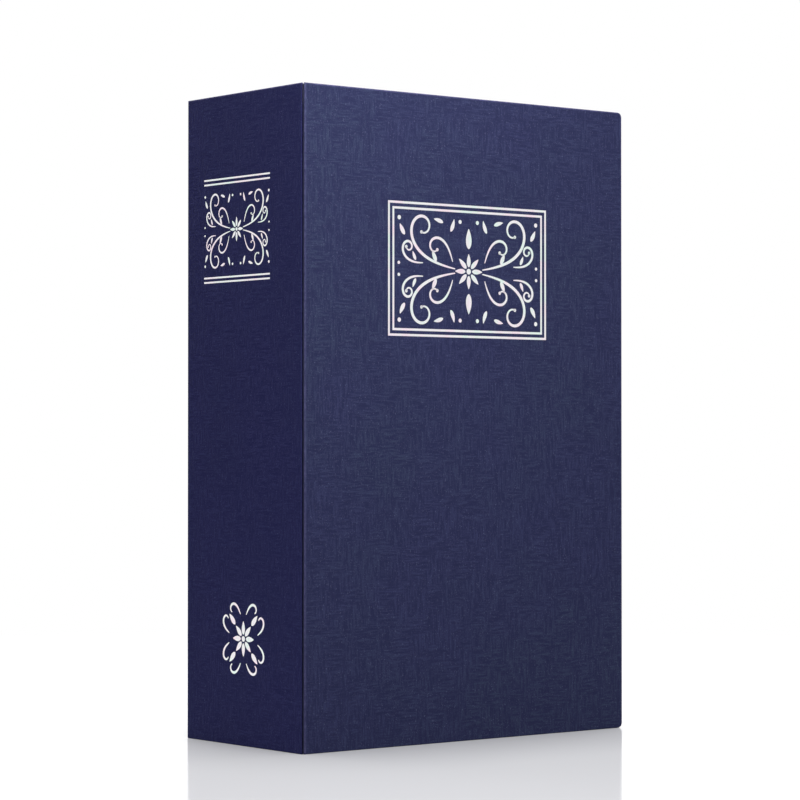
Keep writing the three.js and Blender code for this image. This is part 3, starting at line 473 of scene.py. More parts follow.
class Recipe:
    """Builds one procedural material round a Principled shader.

    Patterns are drawn in millimetres of Object coordinates.
    """

    def __init__(self, name: str) -> None:
        """Starts the material and its coordinates.

        Args:
            name: The material's name.
        """
        self.material = bpy.data.materials.new(name)
        self.material.use_nodes = True
        self.tree = self.material.node_tree
        self.shader = self.tree.nodes["Principled BSDF"]
        self.output = self.tree.nodes["Material Output"]
        self.place = self.tree.nodes.new("ShaderNodeTexCoord").outputs["Object"]

    def node(self, kind: str, inputs: dict[Any, Any], **settings: Any) -> bpy.types.Node:
        """Adds a node.

        Args:
            kind: The node's type without its ShaderNode prefix.
            inputs: Sockets by name or number, with a value or another node's socket.
            settings: The node's own properties.
        Returns:
            The node.
        """
        made = self.tree.nodes.new("ShaderNode" + kind)
        for key, value in settings.items():
            setattr(made, key, value)
        for key, value in inputs.items():
            if isinstance(value, NodeSocket):
                self.tree.links.new(value, made.inputs[key])
            else:
                made.inputs[key].default_value = value
        return made

    def stretched(self, per_mm: Triple) -> NodeSocket:
        """Object coordinates with this many pattern units to a millimetre on each axis."""
        scale = tuple(value / MM for value in per_mm)
        return self.node("Mapping", {"Vector": self.place, "Scale": scale}).outputs[0]

    def noise(self, per_mm: Triple | float, detail: float = 2.0) -> NodeSocket:
        """Soft noise, from about 0.2 to 0.8, of this many features to a millimetre."""
        each = per_mm if isinstance(per_mm, tuple) else (per_mm, per_mm, per_mm)
        inputs = {"Vector": self.stretched(each), "Scale": 1.0, "Detail": detail, "Roughness": 0.55}
        return self.node("TexNoise", inputs).outputs[0]

    def cells(self, per_mm: float, smooth: float = 0.6) -> NodeSocket:
        """Distance to the nearest of scattered points, with softened borders."""
        inputs = {"Vector": self.stretched((per_mm,) * 3), "Scale": 1.0, "Smoothness": smooth}
        return self.node("TexVoronoi", inputs, feature="SMOOTH_F1").outputs["Distance"]

    def remap(self, value: Any, low: float, high: float, start: float = 0.0, end: float = 1.0) -> Any:
        """The value carried from low..high to start..end, and held there outside it."""
        inputs = {0: value, 1: low, 2: high, 3: start, 4: end}
        return self.node("MapRange", inputs, interpolation_type="SMOOTHSTEP").outputs[0]

    def sum(self, kind: str, first: Any, second: Any) -> Any:
        """Two values joined by a Math node's operation."""
        return self.node("Math", {0: first, 1: second}, operation=kind).outputs[0]

    def mix(self, share: Any, first: Any, second: Any) -> Any:
        """A colour between two, each a socket or a display colour."""
        inputs = {"Factor": share}
        for number, colour in ((6, first), (7, second)):
            inputs[number] = (*linear(*colour), 1.0) if isinstance(colour, tuple) else colour
        return self.node("Mix", inputs, data_type="RGBA").outputs[2]

    def rim_of(self, high: Array, reach: float) -> Any:
        """How near a point is to a box's highest and right-hand faces, from 0 to 1.

        Args:
            high: The box's highest corner in metres.
            reach: How far from the faces the value falls to 0.
        Returns:
            The value's socket.
        """
        axes = self.node("SeparateXYZ", {0: self.place}).outputs
        top = self.remap(axes["Z"], float(high[2]) - reach, float(high[2]))
        side = self.remap(axes["X"], float(high[0]) - reach, float(high[0]))
        return self.sum("MAXIMUM", top, side)

    def facing(self, axis: str) -> Any:
        """How squarely the surface faces along an axis of the piece, from 0 to 1."""
        normal = self.node("TexCoord", {}).outputs["Normal"]
        parts = self.node("SeparateXYZ", {0: normal}).outputs
        return self.sum("ABSOLUTE", parts[axis], 0.0)

    def relief(self, height: Any, depth_mm: float, strength: float = 1.0, under: Any = None) -> Any:
        """A bump of this depth, on top of another where one is given."""
        inputs = {"Height": height, "Distance": depth_mm * MM, "Strength": strength}
        if under is not None:
            inputs["Normal"] = under
        return self.node("Bump", inputs).outputs[0]

    def finish(self, **sockets: Any) -> Material:
        """Sets the shader's sockets, named with underscores for spaces, and returns the material."""
        for name, value in sockets.items():
            socket = self.shader.inputs[name.replace("_", " ")]
            if isinstance(value, NodeSocket):
                self.tree.links.new(value, socket)
            elif isinstance(value, tuple) and len(value) == 3 and socket.type == "RGBA":
                socket.default_value = (*value, 1.0)
            else:
                socket.default_value = value
        return self.material


@dataclass(frozen=True)
class Finish:
    """A surface finish: its name and the recipe that makes its material."""

    name: str
    recipe: Callable[[Recipe], Material]

    def material(self) -> Material:
        """The finish's material, made once."""
        return bpy.data.materials.get(self.name) or self.recipe(Recipe(self.name))


@dataclass(frozen=True)
class CoverPaper:
    """Navy covering paper with an embossed linen grain, and paler edges that are wear and also a painted
    highlight where light catches the top, the fore-edge and the crease.
    """

    dark: Colour = (49, 52, 86)
    light: Colour = (62, 66, 103)
    greyer: Colour = (62, 70, 99)
    speck: Colour = (101, 104, 136)
    # Paler colour of the edges: wear, and a painted highlight.
    rubbed_and_highlit: Colour = (122, 118, 166)
    rub_highlight_reach: float = 0.8 * MM
    crease_highlight: float = 0.0
    crease_reach: Pair = (0.9 * MM, 1.9 * MM)
    strokes_per_mm: Pair = (1.6, 0.2)
    patches_per_mm: float = 0.13
    grain_per_mm: float = 1.7
    speck_per_mm: float = 2.1
    emboss_mm: float = 0.07
    roughness: float = 0.46

    def grain(self, r: Recipe) -> Any:
        """Short upright and level strokes, in patches, over a fine grain."""
        fine, coarse = self.strokes_per_mm
        upright = r.noise((fine, fine, coarse))
        level = r.noise((coarse, coarse, fine))
        patch = r.remap(r.noise(self.patches_per_mm), 0.42, 0.6)
        strokes = r.mix(patch, upright, level)
        speckle = r.noise(self.grain_per_mm)
        return r.sum("ADD", r.remap(strokes, 0.3, 0.75, 0.0, 0.8), r.sum("MULTIPLY", speckle, 1.4))

    def recipe(self, r: Recipe) -> Material:
        """Colour, roughness and relief all follow the same grain."""
        height = self.grain(r)
        drift = r.remap(r.noise(0.018), 0.35, 0.65)
        pale = r.mix(drift, self.light, self.greyer)
        tone = r.mix(r.remap(height, 0.7, 1.65), self.dark, pale)
        tone = r.mix(r.remap(r.noise(self.speck_per_mm), 0.62, 0.74, 0.0, 0.7), tone, self.speck)
        # The top and fore-edges are painted paler: wear from handling, and a painted highlight where the
        # light from above catches them.
        rim = r.rim_of(np.array(cad_bounds[1]), self.rub_highlight_reach)
        # A painted highlight along the front cover's edge beside the crease.
        if self.crease_highlight:
            near, far = (cad_bounds[0][0] + reach for reach in self.crease_reach)
            across = r.node("SeparateXYZ", {0: r.place}).outputs["X"]
            rim = r.sum("MAXIMUM", rim, r.remap(across, near, far, self.crease_highlight, 0.0))
        rub_and_highlight = r.sum("MULTIPLY", rim, r.remap(r.noise(0.7, 4.0), 0.3, 0.75, 0.2, 0.8))
        colour = r.mix(rub_and_highlight, tone, self.rubbed_and_highlit)
        rough = r.remap(height, 0.4, 1.6, self.roughness + 0.06, self.roughness - 0.05)
        return r.finish(
            Base_Color=colour, Roughness=rough, Specular_IOR_Level=0.02,
            Normal=r.relief(height, self.emboss_mm, 0.9),
        )


@dataclass(frozen=True)
class FoilStamp:
    """Silver foil pressed on the embossed paper, faintly iridescent and speckled."""

    silver: Colour = (240, 238, 241)
    pink: Colour = (246, 226, 238)
    green: Colour = (226, 242, 236)
    paper: Colour = (70, 72, 108)
    roughness: float = 0.3

    def recipe(self, r: Recipe) -> Material:
        """Slow tints over the silver, with paper showing through in tiny flecks."""
        tint = r.mix(r.remap(r.noise(0.09), 0.4, 0.6), self.pink, self.green)
        base = r.mix(r.remap(r.noise(0.22), 0.35, 0.65), self.silver, tint)
        fleck = r.remap(r.noise(3.4, 3.0), 0.66, 0.74)
        grain = CoverPaper().grain(r)
        return r.finish(
            Base_Color=r.mix(fleck, base, self.paper), Metallic=r.remap(fleck, 0, 1, 1, 0),
            Roughness=self.roughness, Normal=r.relief(grain, 0.03, 0.4),
        )


@dataclass(frozen=True)
class PlainPaper:
    """Uncoated paper: fine fibres and a slight cloudiness."""

    pale: Colour
    cloud: Colour
    sheets_per_mm: float = 0.0
    # Colour of the painted shade between sheets.
    between: Colour = (206, 192, 182)

    def recipe(self, r: Recipe) -> Material:
        """Cloudy colour, with faint darker lines between sheets that are stacked along Y: painted shade in
        the gaps.
        """
        clouds = r.remap(r.noise(1.4, 5.0), 0.35, 0.65)
        colour = r.mix(clouds, self.pale, self.cloud)
        height = r.noise(2.5, 4.0)
        if self.sheets_per_mm:
            slow = self.sheets_per_mm / 200
            lines = r.noise((slow, self.sheets_per_mm, slow), 3.0)
            cut_edge = r.remap(r.facing("Y"), 0.5, 0.8, 1.0, 0.0)
            # Darker lines on the cut edges between sheets are painted shade.
            shade = r.sum("MULTIPLY", r.remap(lines, 0.5, 0.72, 0.0, 0.4), cut_edge)
            colour = r.mix(shade, colour, self.between)
            height = r.sum("ADD", height, r.sum("MULTIPLY", r.sum("MULTIPLY", lines, cut_edge), 2.0))
        return r.finish(
            Base_Color=colour, Roughness=0.88, Specular_IOR_Level=0.25,
            Normal=r.relief(height, 0.04, 0.5),
        )


@dataclass(frozen=True)
class GreyBoard:
    """Binder's board of pulped fibre."""

    dark: Colour = (124, 114, 102)
    light: Colour = (158, 148, 134)
    speck: Colour = (84, 76, 68)

    def recipe(self, r: Recipe) -> Material:
        """Mottled grey with darker specks."""
        tone = r.mix(r.noise(1.2, 5.0), self.dark, self.light)
        specks = r.remap(r.noise(4.0), 0.62, 0.7)
        return r.finish(
            Base_Color=r.mix(specks, tone, self.speck), Roughness=0.95,
            Specular_IOR_Level=0.2, Normal=r.relief(r.noise(3.0, 4.0), 0.05, 0.6),
        )


@dataclass(frozen=True)
class HammeredCoat:
    """Grey powder coat with an orange-peel texture."""

    grey: Colour = (114, 105, 112)
    # Colour of the dimples' hollows, a painted shade.
    shade: Colour = (104, 96, 103)
    cloud: Colour = (121, 111, 118)
    rubbed_and_highlit: Colour = (148, 140, 149)
    rub_highlight_level: float = -32.8 * MM
    rub_highlight_reach: float = 1.1 * MM
    dimples_per_mm: float = 1.05
    dimple_mm: float = 0.16

    def recipe(self, r: Recipe) -> Material:
        """Dimples with round borders, a finer ripple on top, and a paler crest on the rim, which is wear
        where hands touch it and also a painted highlight on the ridge.
        """
        dimples = r.cells(self.dimples_per_mm, 0.75)
        ripple = r.noise(2.2, 3.0)
        height = r.sum("ADD", r.remap(dimples, 0.05, 0.75), r.sum("MULTIPLY", ripple, 0.5))
        # Dimple hollows take the darker shade colour: painted shade in the hollows.
        tone = r.mix(r.remap(height, 0.3, 1.1), self.shade, self.grey)
        cloudy = r.mix(r.remap(r.noise(0.04), 0.35, 0.65, 0.0, 0.6), tone, self.cloud)
        depth = r.node("SeparateXYZ", {0: r.place}).outputs["Y"]
        # The rim's crest is painted paler: wear, and a painted highlight on the ridge.
        crest = r.remap(depth, self.rub_highlight_level, self.rub_highlight_level + self.rub_highlight_reach, 1.0, 0.0)
        rub_and_highlight = r.sum("MULTIPLY", crest, r.remap(r.noise(0.35, 3.0), 0.3, 0.7, 0.35, 0.8))
        worn_and_highlit = r.mix(rub_and_highlight, cloudy, self.rubbed_and_highlit)
        return r.finish(
            Base_Color=worn_and_highlit, Roughness=r.remap(ripple, 0.3, 0.7, 0.34, 0.46),
            Specular_IOR_Level=0.5, Normal=r.relief(height, self.dimple_mm, 0.9),
        )


@dataclass(frozen=True)
class Metal:
    """Bare or plated metal with drawn or brushed lines and faint smudges."""

    colour: Colour
    smudge: Colour
    roughness: Pair
    lines_per_mm: Triple = (4.0, 4.0, 4.0)
    line_mm: float = 0.004

    def recipe(self, r: Recipe) -> Material:
        """Lines in the relief, smudges in the colour and the roughness."""
        lines = r.noise(self.lines_per_mm, 3.0)
        smudges = r.remap(r.noise(0.3, 4.0), 0.38, 0.66)
        return r.finish(
            Base_Color=r.mix(smudges, self.colour, self.smudge), Metallic=1.0,
            Roughness=r.remap(r.sum("ADD", lines, smudges), 0.2, 1.5, *self.roughness),
            Normal=r.relief(lines, self.line_mm, 0.6),
        )


@dataclass(frozen=True)
class MouldedPlastic:
    """Black moulded plastic with a fine spark-eroded texture."""

    black: Colour = (40, 37, 40)
    bloomed: Colour = (52, 48, 52)

    def recipe(self, r: Recipe) -> Material:
        """Near-black with a faint bloom on handled places."""
        texture = r.noise(5.5, 2.0)
        bloom = r.remap(r.noise(0.25, 3.0), 0.4, 0.7)
        return r.finish(
            Base_Color=r.mix(bloom, self.black, self.bloomed),
            Roughness=r.remap(texture, 0.3, 0.7, 0.34, 0.5), Specular_IOR_Level=0.5,
            Normal=r.relief(texture, 0.025, 0.5),
        )


# The front cover's paper paints a highlight beside the crease.
PAPER = Finish("embossed_cover_paper", CoverPaper(crease_highlight=0.45).recipe)
# The same paper, darker and bluer on the spine: painted shade for the spine's cooler, dimmer light.
SPINE_PAPER_PAINTED_SHADE = Finish("embossed_spine_paper_painted_shade", CoverPaper(
    dark=(45, 46, 92), light=(57, 59, 108), greyer=(53, 57, 102), speck=(90, 93, 140),
).recipe)
# Near-black copy of the cover paper: painted shade for the deep crease that the cloth fills.
CLOTH = Finish("joint_cloth", CoverPaper(
    dark=(14, 15, 32), light=(22, 24, 44), greyer=(21, 24, 42), strokes_per_mm=(4.0, 2.0), emboss_mm=0.04,
).recipe)
FOIL = Finish("silver_foil", FoilStamp().recipe)
ENDPAPER = Finish("endpaper", PlainPaper((243, 238, 230), (234, 227, 216)).recipe)
PAGES = Finish("page_edges", PlainPaper((244, 235, 230), (238, 228, 221), 5.5).recipe)
BOARD = Finish("grey_board", GreyBoard().recipe)
COAT = Finish("hammered_grey_coat", HammeredCoat().recipe)
PLATED = Finish("zinc_plate", Metal(
    (190, 191, 195), (180, 181, 185), (0.27, 0.37), (6, 6, 0.3), 0.008,
).recipe)
# A darker colour than bright chrome, which paints in the dark reflections round the lock.
CHROME = Finish("lock_chrome", Metal((182, 177, 181), (164, 158, 163), (0.05, 0.15), (2, 2, 2), 0.002).recipe)
BRASS = Finish("wafer_brass", Metal((206, 178, 112), (182, 150, 88), (0.25, 0.4)).recipe)
NICKEL = Finish("key_blade_nickel", Metal(
    (190, 175, 163), (172, 153, 139), (0.22, 0.36), (0.4, 5, 5), 0.01,
).recipe)
WIRE = Finish("ring_wire", Metal((214, 211, 212), (188, 184, 186), (0.12, 0.26), (3, 3, 3)).recipe)
BLACK = Finish("black_key_plastic", MouldedPlastic().recipe)


def dress(
    piece: Object, finish: Finish, body: Body, slot: Slot | None = None, *stands_for: str,
) -> None:
    """Gives a finished piece its material, its body and the nodes it stands for.

    Args:
        piece: The piece, in place.
        finish: Its finish.
        body: The body that it moves with.
        slot: The record's slot, for a piece that shows one. Not used.
        stands_for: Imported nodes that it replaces.
    """
    piece.data.materials.clear()
    piece.data.materials.append(finish.material())
    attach(piece, body.value)
    if stands_for:
        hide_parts(*stands_for)
    LOG.info("%s: %d faces, rides on %s", piece.name, len(piece.data.polygons), body.value)


def dress_node(name: str, finish: Finish) -> None:
    """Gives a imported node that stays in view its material."""
    node = frame["nodes"][name]
    node.data.materials.clear()
    node.data.materials.append(finish.material())
    LOG.info("%s: packed node in %s", name, finish.name)


# The hardback case


@dataclass(frozen=True)
class Side:
    """One flat side of the case, in its own frame: across, up and inwards."""

    corner: Pair
    across: Pair
    inward: Pair

    def place(self, flat: Array, depth: Array | float) -> Array:
        """Points given as across and up, set at a depth below the side's outer face."""
        depth = np.broadcast_to(depth, flat.shape[:-1])
        x = self.corner[0] + self.across[0] * flat[..., 0] + self.inward[0] * depth
        y = self.corner[1] + self.across[1] * flat[..., 0] + self.inward[1] * depth
        return np.stack([x, y, flat[..., 1]], -1)


@dataclass
class WrappedBoard:
    """A board wrapped in covering paper: a thin closed shell with a window inside.

    Seen in section the paper starts on the outer face, rounds the edge, crosses
    the board's thickness, rounds again and is turned in. At a crease it follows a
    45 degree mitre instead. Both walls are functions of the depth alone, so each
    ring of the shell is flat.
    """

    name: str
    side: Side
    width: float
    height: float
    edges: tuple[Edge, Edge]
    lips: Pair
    window: Pair
    thickness: float = 3.3 * MM
    paper: float = 0.4 * MM
    flap: float = 0.25 * MM
    foil_room: float = 0.02 * MM
    edge_round: float = 0.35 * MM
    turn_in: float = 11 * MM
    slits: Pair = (0.3 * MM, 0.3 * MM)
    corner: float = 2 * MM
    support: float = 0.3 * MM
    arc_steps: int = 6

    def turned_wall(self, depth: Array) -> Array:
        """How far a turned edge lies inside the board's outline at a depth."""
        radius = self.edge_round
        outer = np.clip(radius - (depth - self.foil_room), 0, radius)
        inner = np.clip(radius - (self.thickness - depth), 0, radius)
        return radius - np.sqrt(radius**2 - np.maximum(outer, inner) ** 2)

    def mitred_wall(self, depth: Array, radius: float, slit: float) -> Array:
        """How far a mitred edge lies from the corner at a depth, with both lips rounded.

        The outer lip turns 135 degrees from the face to the mitre, so its tangent
        length is the radius over tan 22.5 degrees. The inner lip turns 45 degrees.
        """
        tangent = radius / math.tan(math.pi / 8)
        below = depth - self.foil_room
        above = self.thickness - depth
        reach = np.where(below < radius, radius - below, below - radius)
        outer = self.foil_room + tangent - np.sqrt(np.maximum(radius**2 - reach**2, 0))
        inner_reach = np.clip(radius - above, 0, radius)
        inner = self.thickness + radius * (math.sqrt(2) - 1) - np.sqrt(radius**2 - inner_reach**2)
        wall = np.where(below < radius * (1 + math.sqrt(0.5)), outer, depth)
        return slit + np.where(above < radius * (1 - math.sqrt(0.5)), inner, wall)

    def depths(self) -> Array:
        """The outer wall's depths: both lips' arcs and the stretch between them."""
        turn = np.radians(np.linspace(0, 135, self.arc_steps * 2))
        outer = [self.foil_room + r * (1 - np.cos(turn)) for r in {*self.lips}]
        quarter = np.radians(np.linspace(0, 90, self.arc_steps + 1))
        edge = self.edge_round * (1 - np.cos(quarter))
        inner = [self.thickness - r * (1 - np.cos(quarter)) for r in {*self.lips}]
        everything = np.concatenate([*outer, self.foil_room + edge, self.thickness - edge, *inner])
        return np.unique(np.round(everything, 8))

    def rings(self) -> Array:
        """Depth, turned inset, low mitre and high mitre of every ring."""
        depth = self.depths()
        low, high = (self.mitred_wall(depth, lip, slit) for lip, slit in zip(self.lips, self.slits))
        wall = np.stack([depth, self.turned_wall(depth), low, high], 1)
        start = wall[0] + [0, self.support, self.support, self.support]
        inside = wall[-1] + [0, self.support, self.support, self.support]
        opening = np.array([self.thickness, self.turn_in, *self.window])
        soft = np.array([0, -0.1 * MM, -0.1 * MM, -0.1 * MM])
        step = np.array([0.1 * MM, 0, 0, 0])
        foot = opening - [self.paper, 0, 0, 0]
        skew = np.array([0, 0, *self.slits]) + np.array([0, 0, 1, 1]) * self.flap * math.sqrt(2)
        under = self.thickness - self.paper
        lower = skew + [under, self.paper, under, under]
        upper = skew + self.paper
        return np.vstack([start, wall, inside, opening + soft, opening - step, foot, lower, upper])

    def outline(self, row: Array) -> Array:
        """One ring in the side's own frame: mitred ends are square, turned ones round.

        Args:
            row: Depth, turned inset, low mitre and high mitre.
        Returns:
            The ring's points.
        """
        _, inset, low_mitre, high_mitre = row
        left = low_mitre if self.edges[0] is Edge.MITRED else inset
        right = self.width - (high_mitre if self.edges[1] is Edge.MITRED else inset)
        low, high = inset, self.height - inset
        if self.edges[1] is Edge.MITRED:
            return np.array([(left, low), (right, low), (right, high), (left, high)])
        radius = max(self.corner - inset, 0.1 * MM)
        lower = arc((right - radius, low + radius), radius, -90, 0, self.arc_steps)
        upper = arc((right - radius, high - radius), radius, 0, 90, self.arc_steps)
        return np.concatenate([[(left, low)], lower, upper, [(left, high)]])

    def build(self) -> Object:
        """Stacks the rings into the paper's closed shell."""
        rows = self.rings()
        flat = np.stack([self.outline(row) for row in rows])
        points = self.side.place(flat, rows[:, :1])
        return Shell(self.name).grid(points).build(Sharp.THIN)


def slab(
    name: str, side: Side, spans: tuple[Pair, ...], corner: float, edge: float,
) -> Object:
    """A thin flat sheet with rounded corners and softened edges.

    Args:
        name: The piece's name.
        side: The side of the case that it lies along.
        spans: Its reach across, up and inwards, as pairs.
        corner: Radius of its corners.
        edge: Rounding of its edges.
    Returns:
        The object.
    """
    (left, right), (low, high), (near, far) = spans
    inset, depth = softened(near, far, edge, 3)
    rim = plain_rim(5, 1)
    rows = np.stack([rim.ring(left + d, right - d, low + d, high - d, corner) for d in inset])
    return Shell(name).grid(side.place(rows, depth[:, None])).build()


@dataclass
class JointCloth:
    """A folded strip of cloth standing in a crease, with its fold towards the corner.

    Its middle line runs up one wall of the mitre, over a half circle and down the
    other wall. It is carried along Z.
    """

    name: str
    corner: Pair
    toward: Pair
    height: float
    tip: float = 0.72 * MM
    reach: float = 3.2 * MM
    spread: float = 0.05 * MM
    thickness: float = 0.045 * MM
    turn_steps: int = 14
    lengths: int = 40

    def build(self) -> Object:
        """Makes the strip as one closed tube of a folded section."""
        inward = np.array(self.toward) / math.sqrt(2)
        sideways = np.array([inward[1], -inward[0]])
        half = arc((self.tip + self.spread, 0), self.spread, 90, 270, self.turn_steps)
        line = np.concatenate([[(self.reach, self.spread)], half, [(self.reach, -self.spread)]])
        aside = side_normals(line) * self.thickness / 2
        loop = np.concatenate([line + aside, (line - aside)[::-1]])
        flat = np.array(self.corner) + loop[:, :1] * inward + loop[:, 1:] * sideways
        level = np.linspace(0.5 * MM, self.height - 0.5 * MM, self.lengths)
        rows = lifted(np.broadcast_to(flat, (len(level), *flat.shape)), level[:, None], 2)
        return Shell(self.name).grid(rows).build(Sharp.ROUNDED)


@dataclass
class Case:
    """The hardback case: three wrapped boards, their creases and the sheets inside."""

    front_lip: float = 0.24 * MM
    spine_lip: float = 0.2 * MM
    back_lip: float = 0.1 * MM
    cover_slits: Pair = (0.3 * MM, 0.05 * MM)
    spine_slits: Pair = (0.6 * MM, 0.05 * MM)
    window_gap: float = 0.2 * MM
    sheet_corner: float = 0.8 * MM
    sheet_edge: float = 0.1 * MM

    def __post_init__(self) -> None:
        """Takes the case's outer box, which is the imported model's own, and its three sides."""
        low, high = (np.array(corner) for corner in cad_bounds)
        self.width, self.depth, self.height = high - low
        self.low, self.high = low, high
        self.front = Side((low[0], low[1]), (1, 0), (0, 1))
        self.back = Side((low[0], high[1]), (1, 0), (0, -1))
        self.spine = Side((low[0], low[1]), (0, 1), (1, 0))

    def covers(self) -> None:
        """Wraps both covers and lays their endpapers in the windows."""
        for word, side, body, lip, slit in (
            ("front", self.front, Body.COVER, self.front_lip, self.cover_slits[0]),
            ("back", self.back, Body.CASE, self.back_lip, self.cover_slits[1]),
        ):
            low, high = node_box(f"{word}_endpaper")
            reach = (low[0] - self.low[0] - self.window_gap, 0.0)
            paper = WrappedBoard(
                f"{word}_cover", side, self.width, self.height, (Edge.MITRED, Edge.TURNED), (lip, lip), reach,
                slits=(slit, slit),
            ).build()
            dress(paper, PAPER, body, Slot.COVER_PAPER, f"{word}_cover_paper")
            outer = low[1] - self.low[1] if word == "front" else self.high[1] - high[1]
            spans = (
                (low[0] - self.low[0], high[0] - self.low[0]), (low[2], high[2]),
                (outer, outer + high[1] - low[1]),
            )
            sheet = slab(f"{word}_endpaper_sheet", side, spans, self.sheet_corner, self.sheet_edge)
            dress(sheet, ENDPAPER, body, Slot.ENDPAPER, f"{word}_endpaper")
            dress_node(f"{word}_board", BOARD)

    def spine_and_creases(self) -> None:
        """Wraps the spine, lines it, and stands the folded cloth in both creases."""
        low, high = node_box("spine_lining")
        reach = (
            low[1] - self.low[1] - self.window_gap,
            self.high[1] - high[1] - self.window_gap,
        )
        spine = WrappedBoard(
            "spine", self.spine, self.depth, self.height, (Edge.MITRED, Edge.MITRED),
            (self.spine_lip, self.back_lip), reach, slits=self.spine_slits,
        ).build()
        dress(spine, SPINE_PAPER_PAINTED_SHADE, Body.CASE, Slot.COVER_PAPER, "spine_cover_paper")
        spans = (
            (low[1] - self.low[1], high[1] - self.low[1]), (low[2], high[2]),
            (low[0] - self.low[0], high[0] - self.low[0]),
        )
        lining = slab("spine_lining_sheet", self.spine, spans, self.sheet_corner, self.sheet_edge)
        dress(lining, ENDPAPER, Body.CASE, Slot.ENDPAPER, "spine_lining")
        dress_node("spine_board", BOARD)

        back = JointCloth("back_joint_cloth", (self.low[0], self.high[1]), (1, -1), self.height).build()
        dress(back, CLOTH, Body.CASE, Slot.CLOTH)
        cloth = JointCloth("front_joint_cloth", (self.low[0], self.low[1]), (1, 1), self.height)
        front = cloth.build()
        front.data.materials.append(CLOTH.material())
        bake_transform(front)
        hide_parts("front_joint_strip")
        LOG.info("front_joint_cloth: bends between the case and the front cover")


# The silver stamping


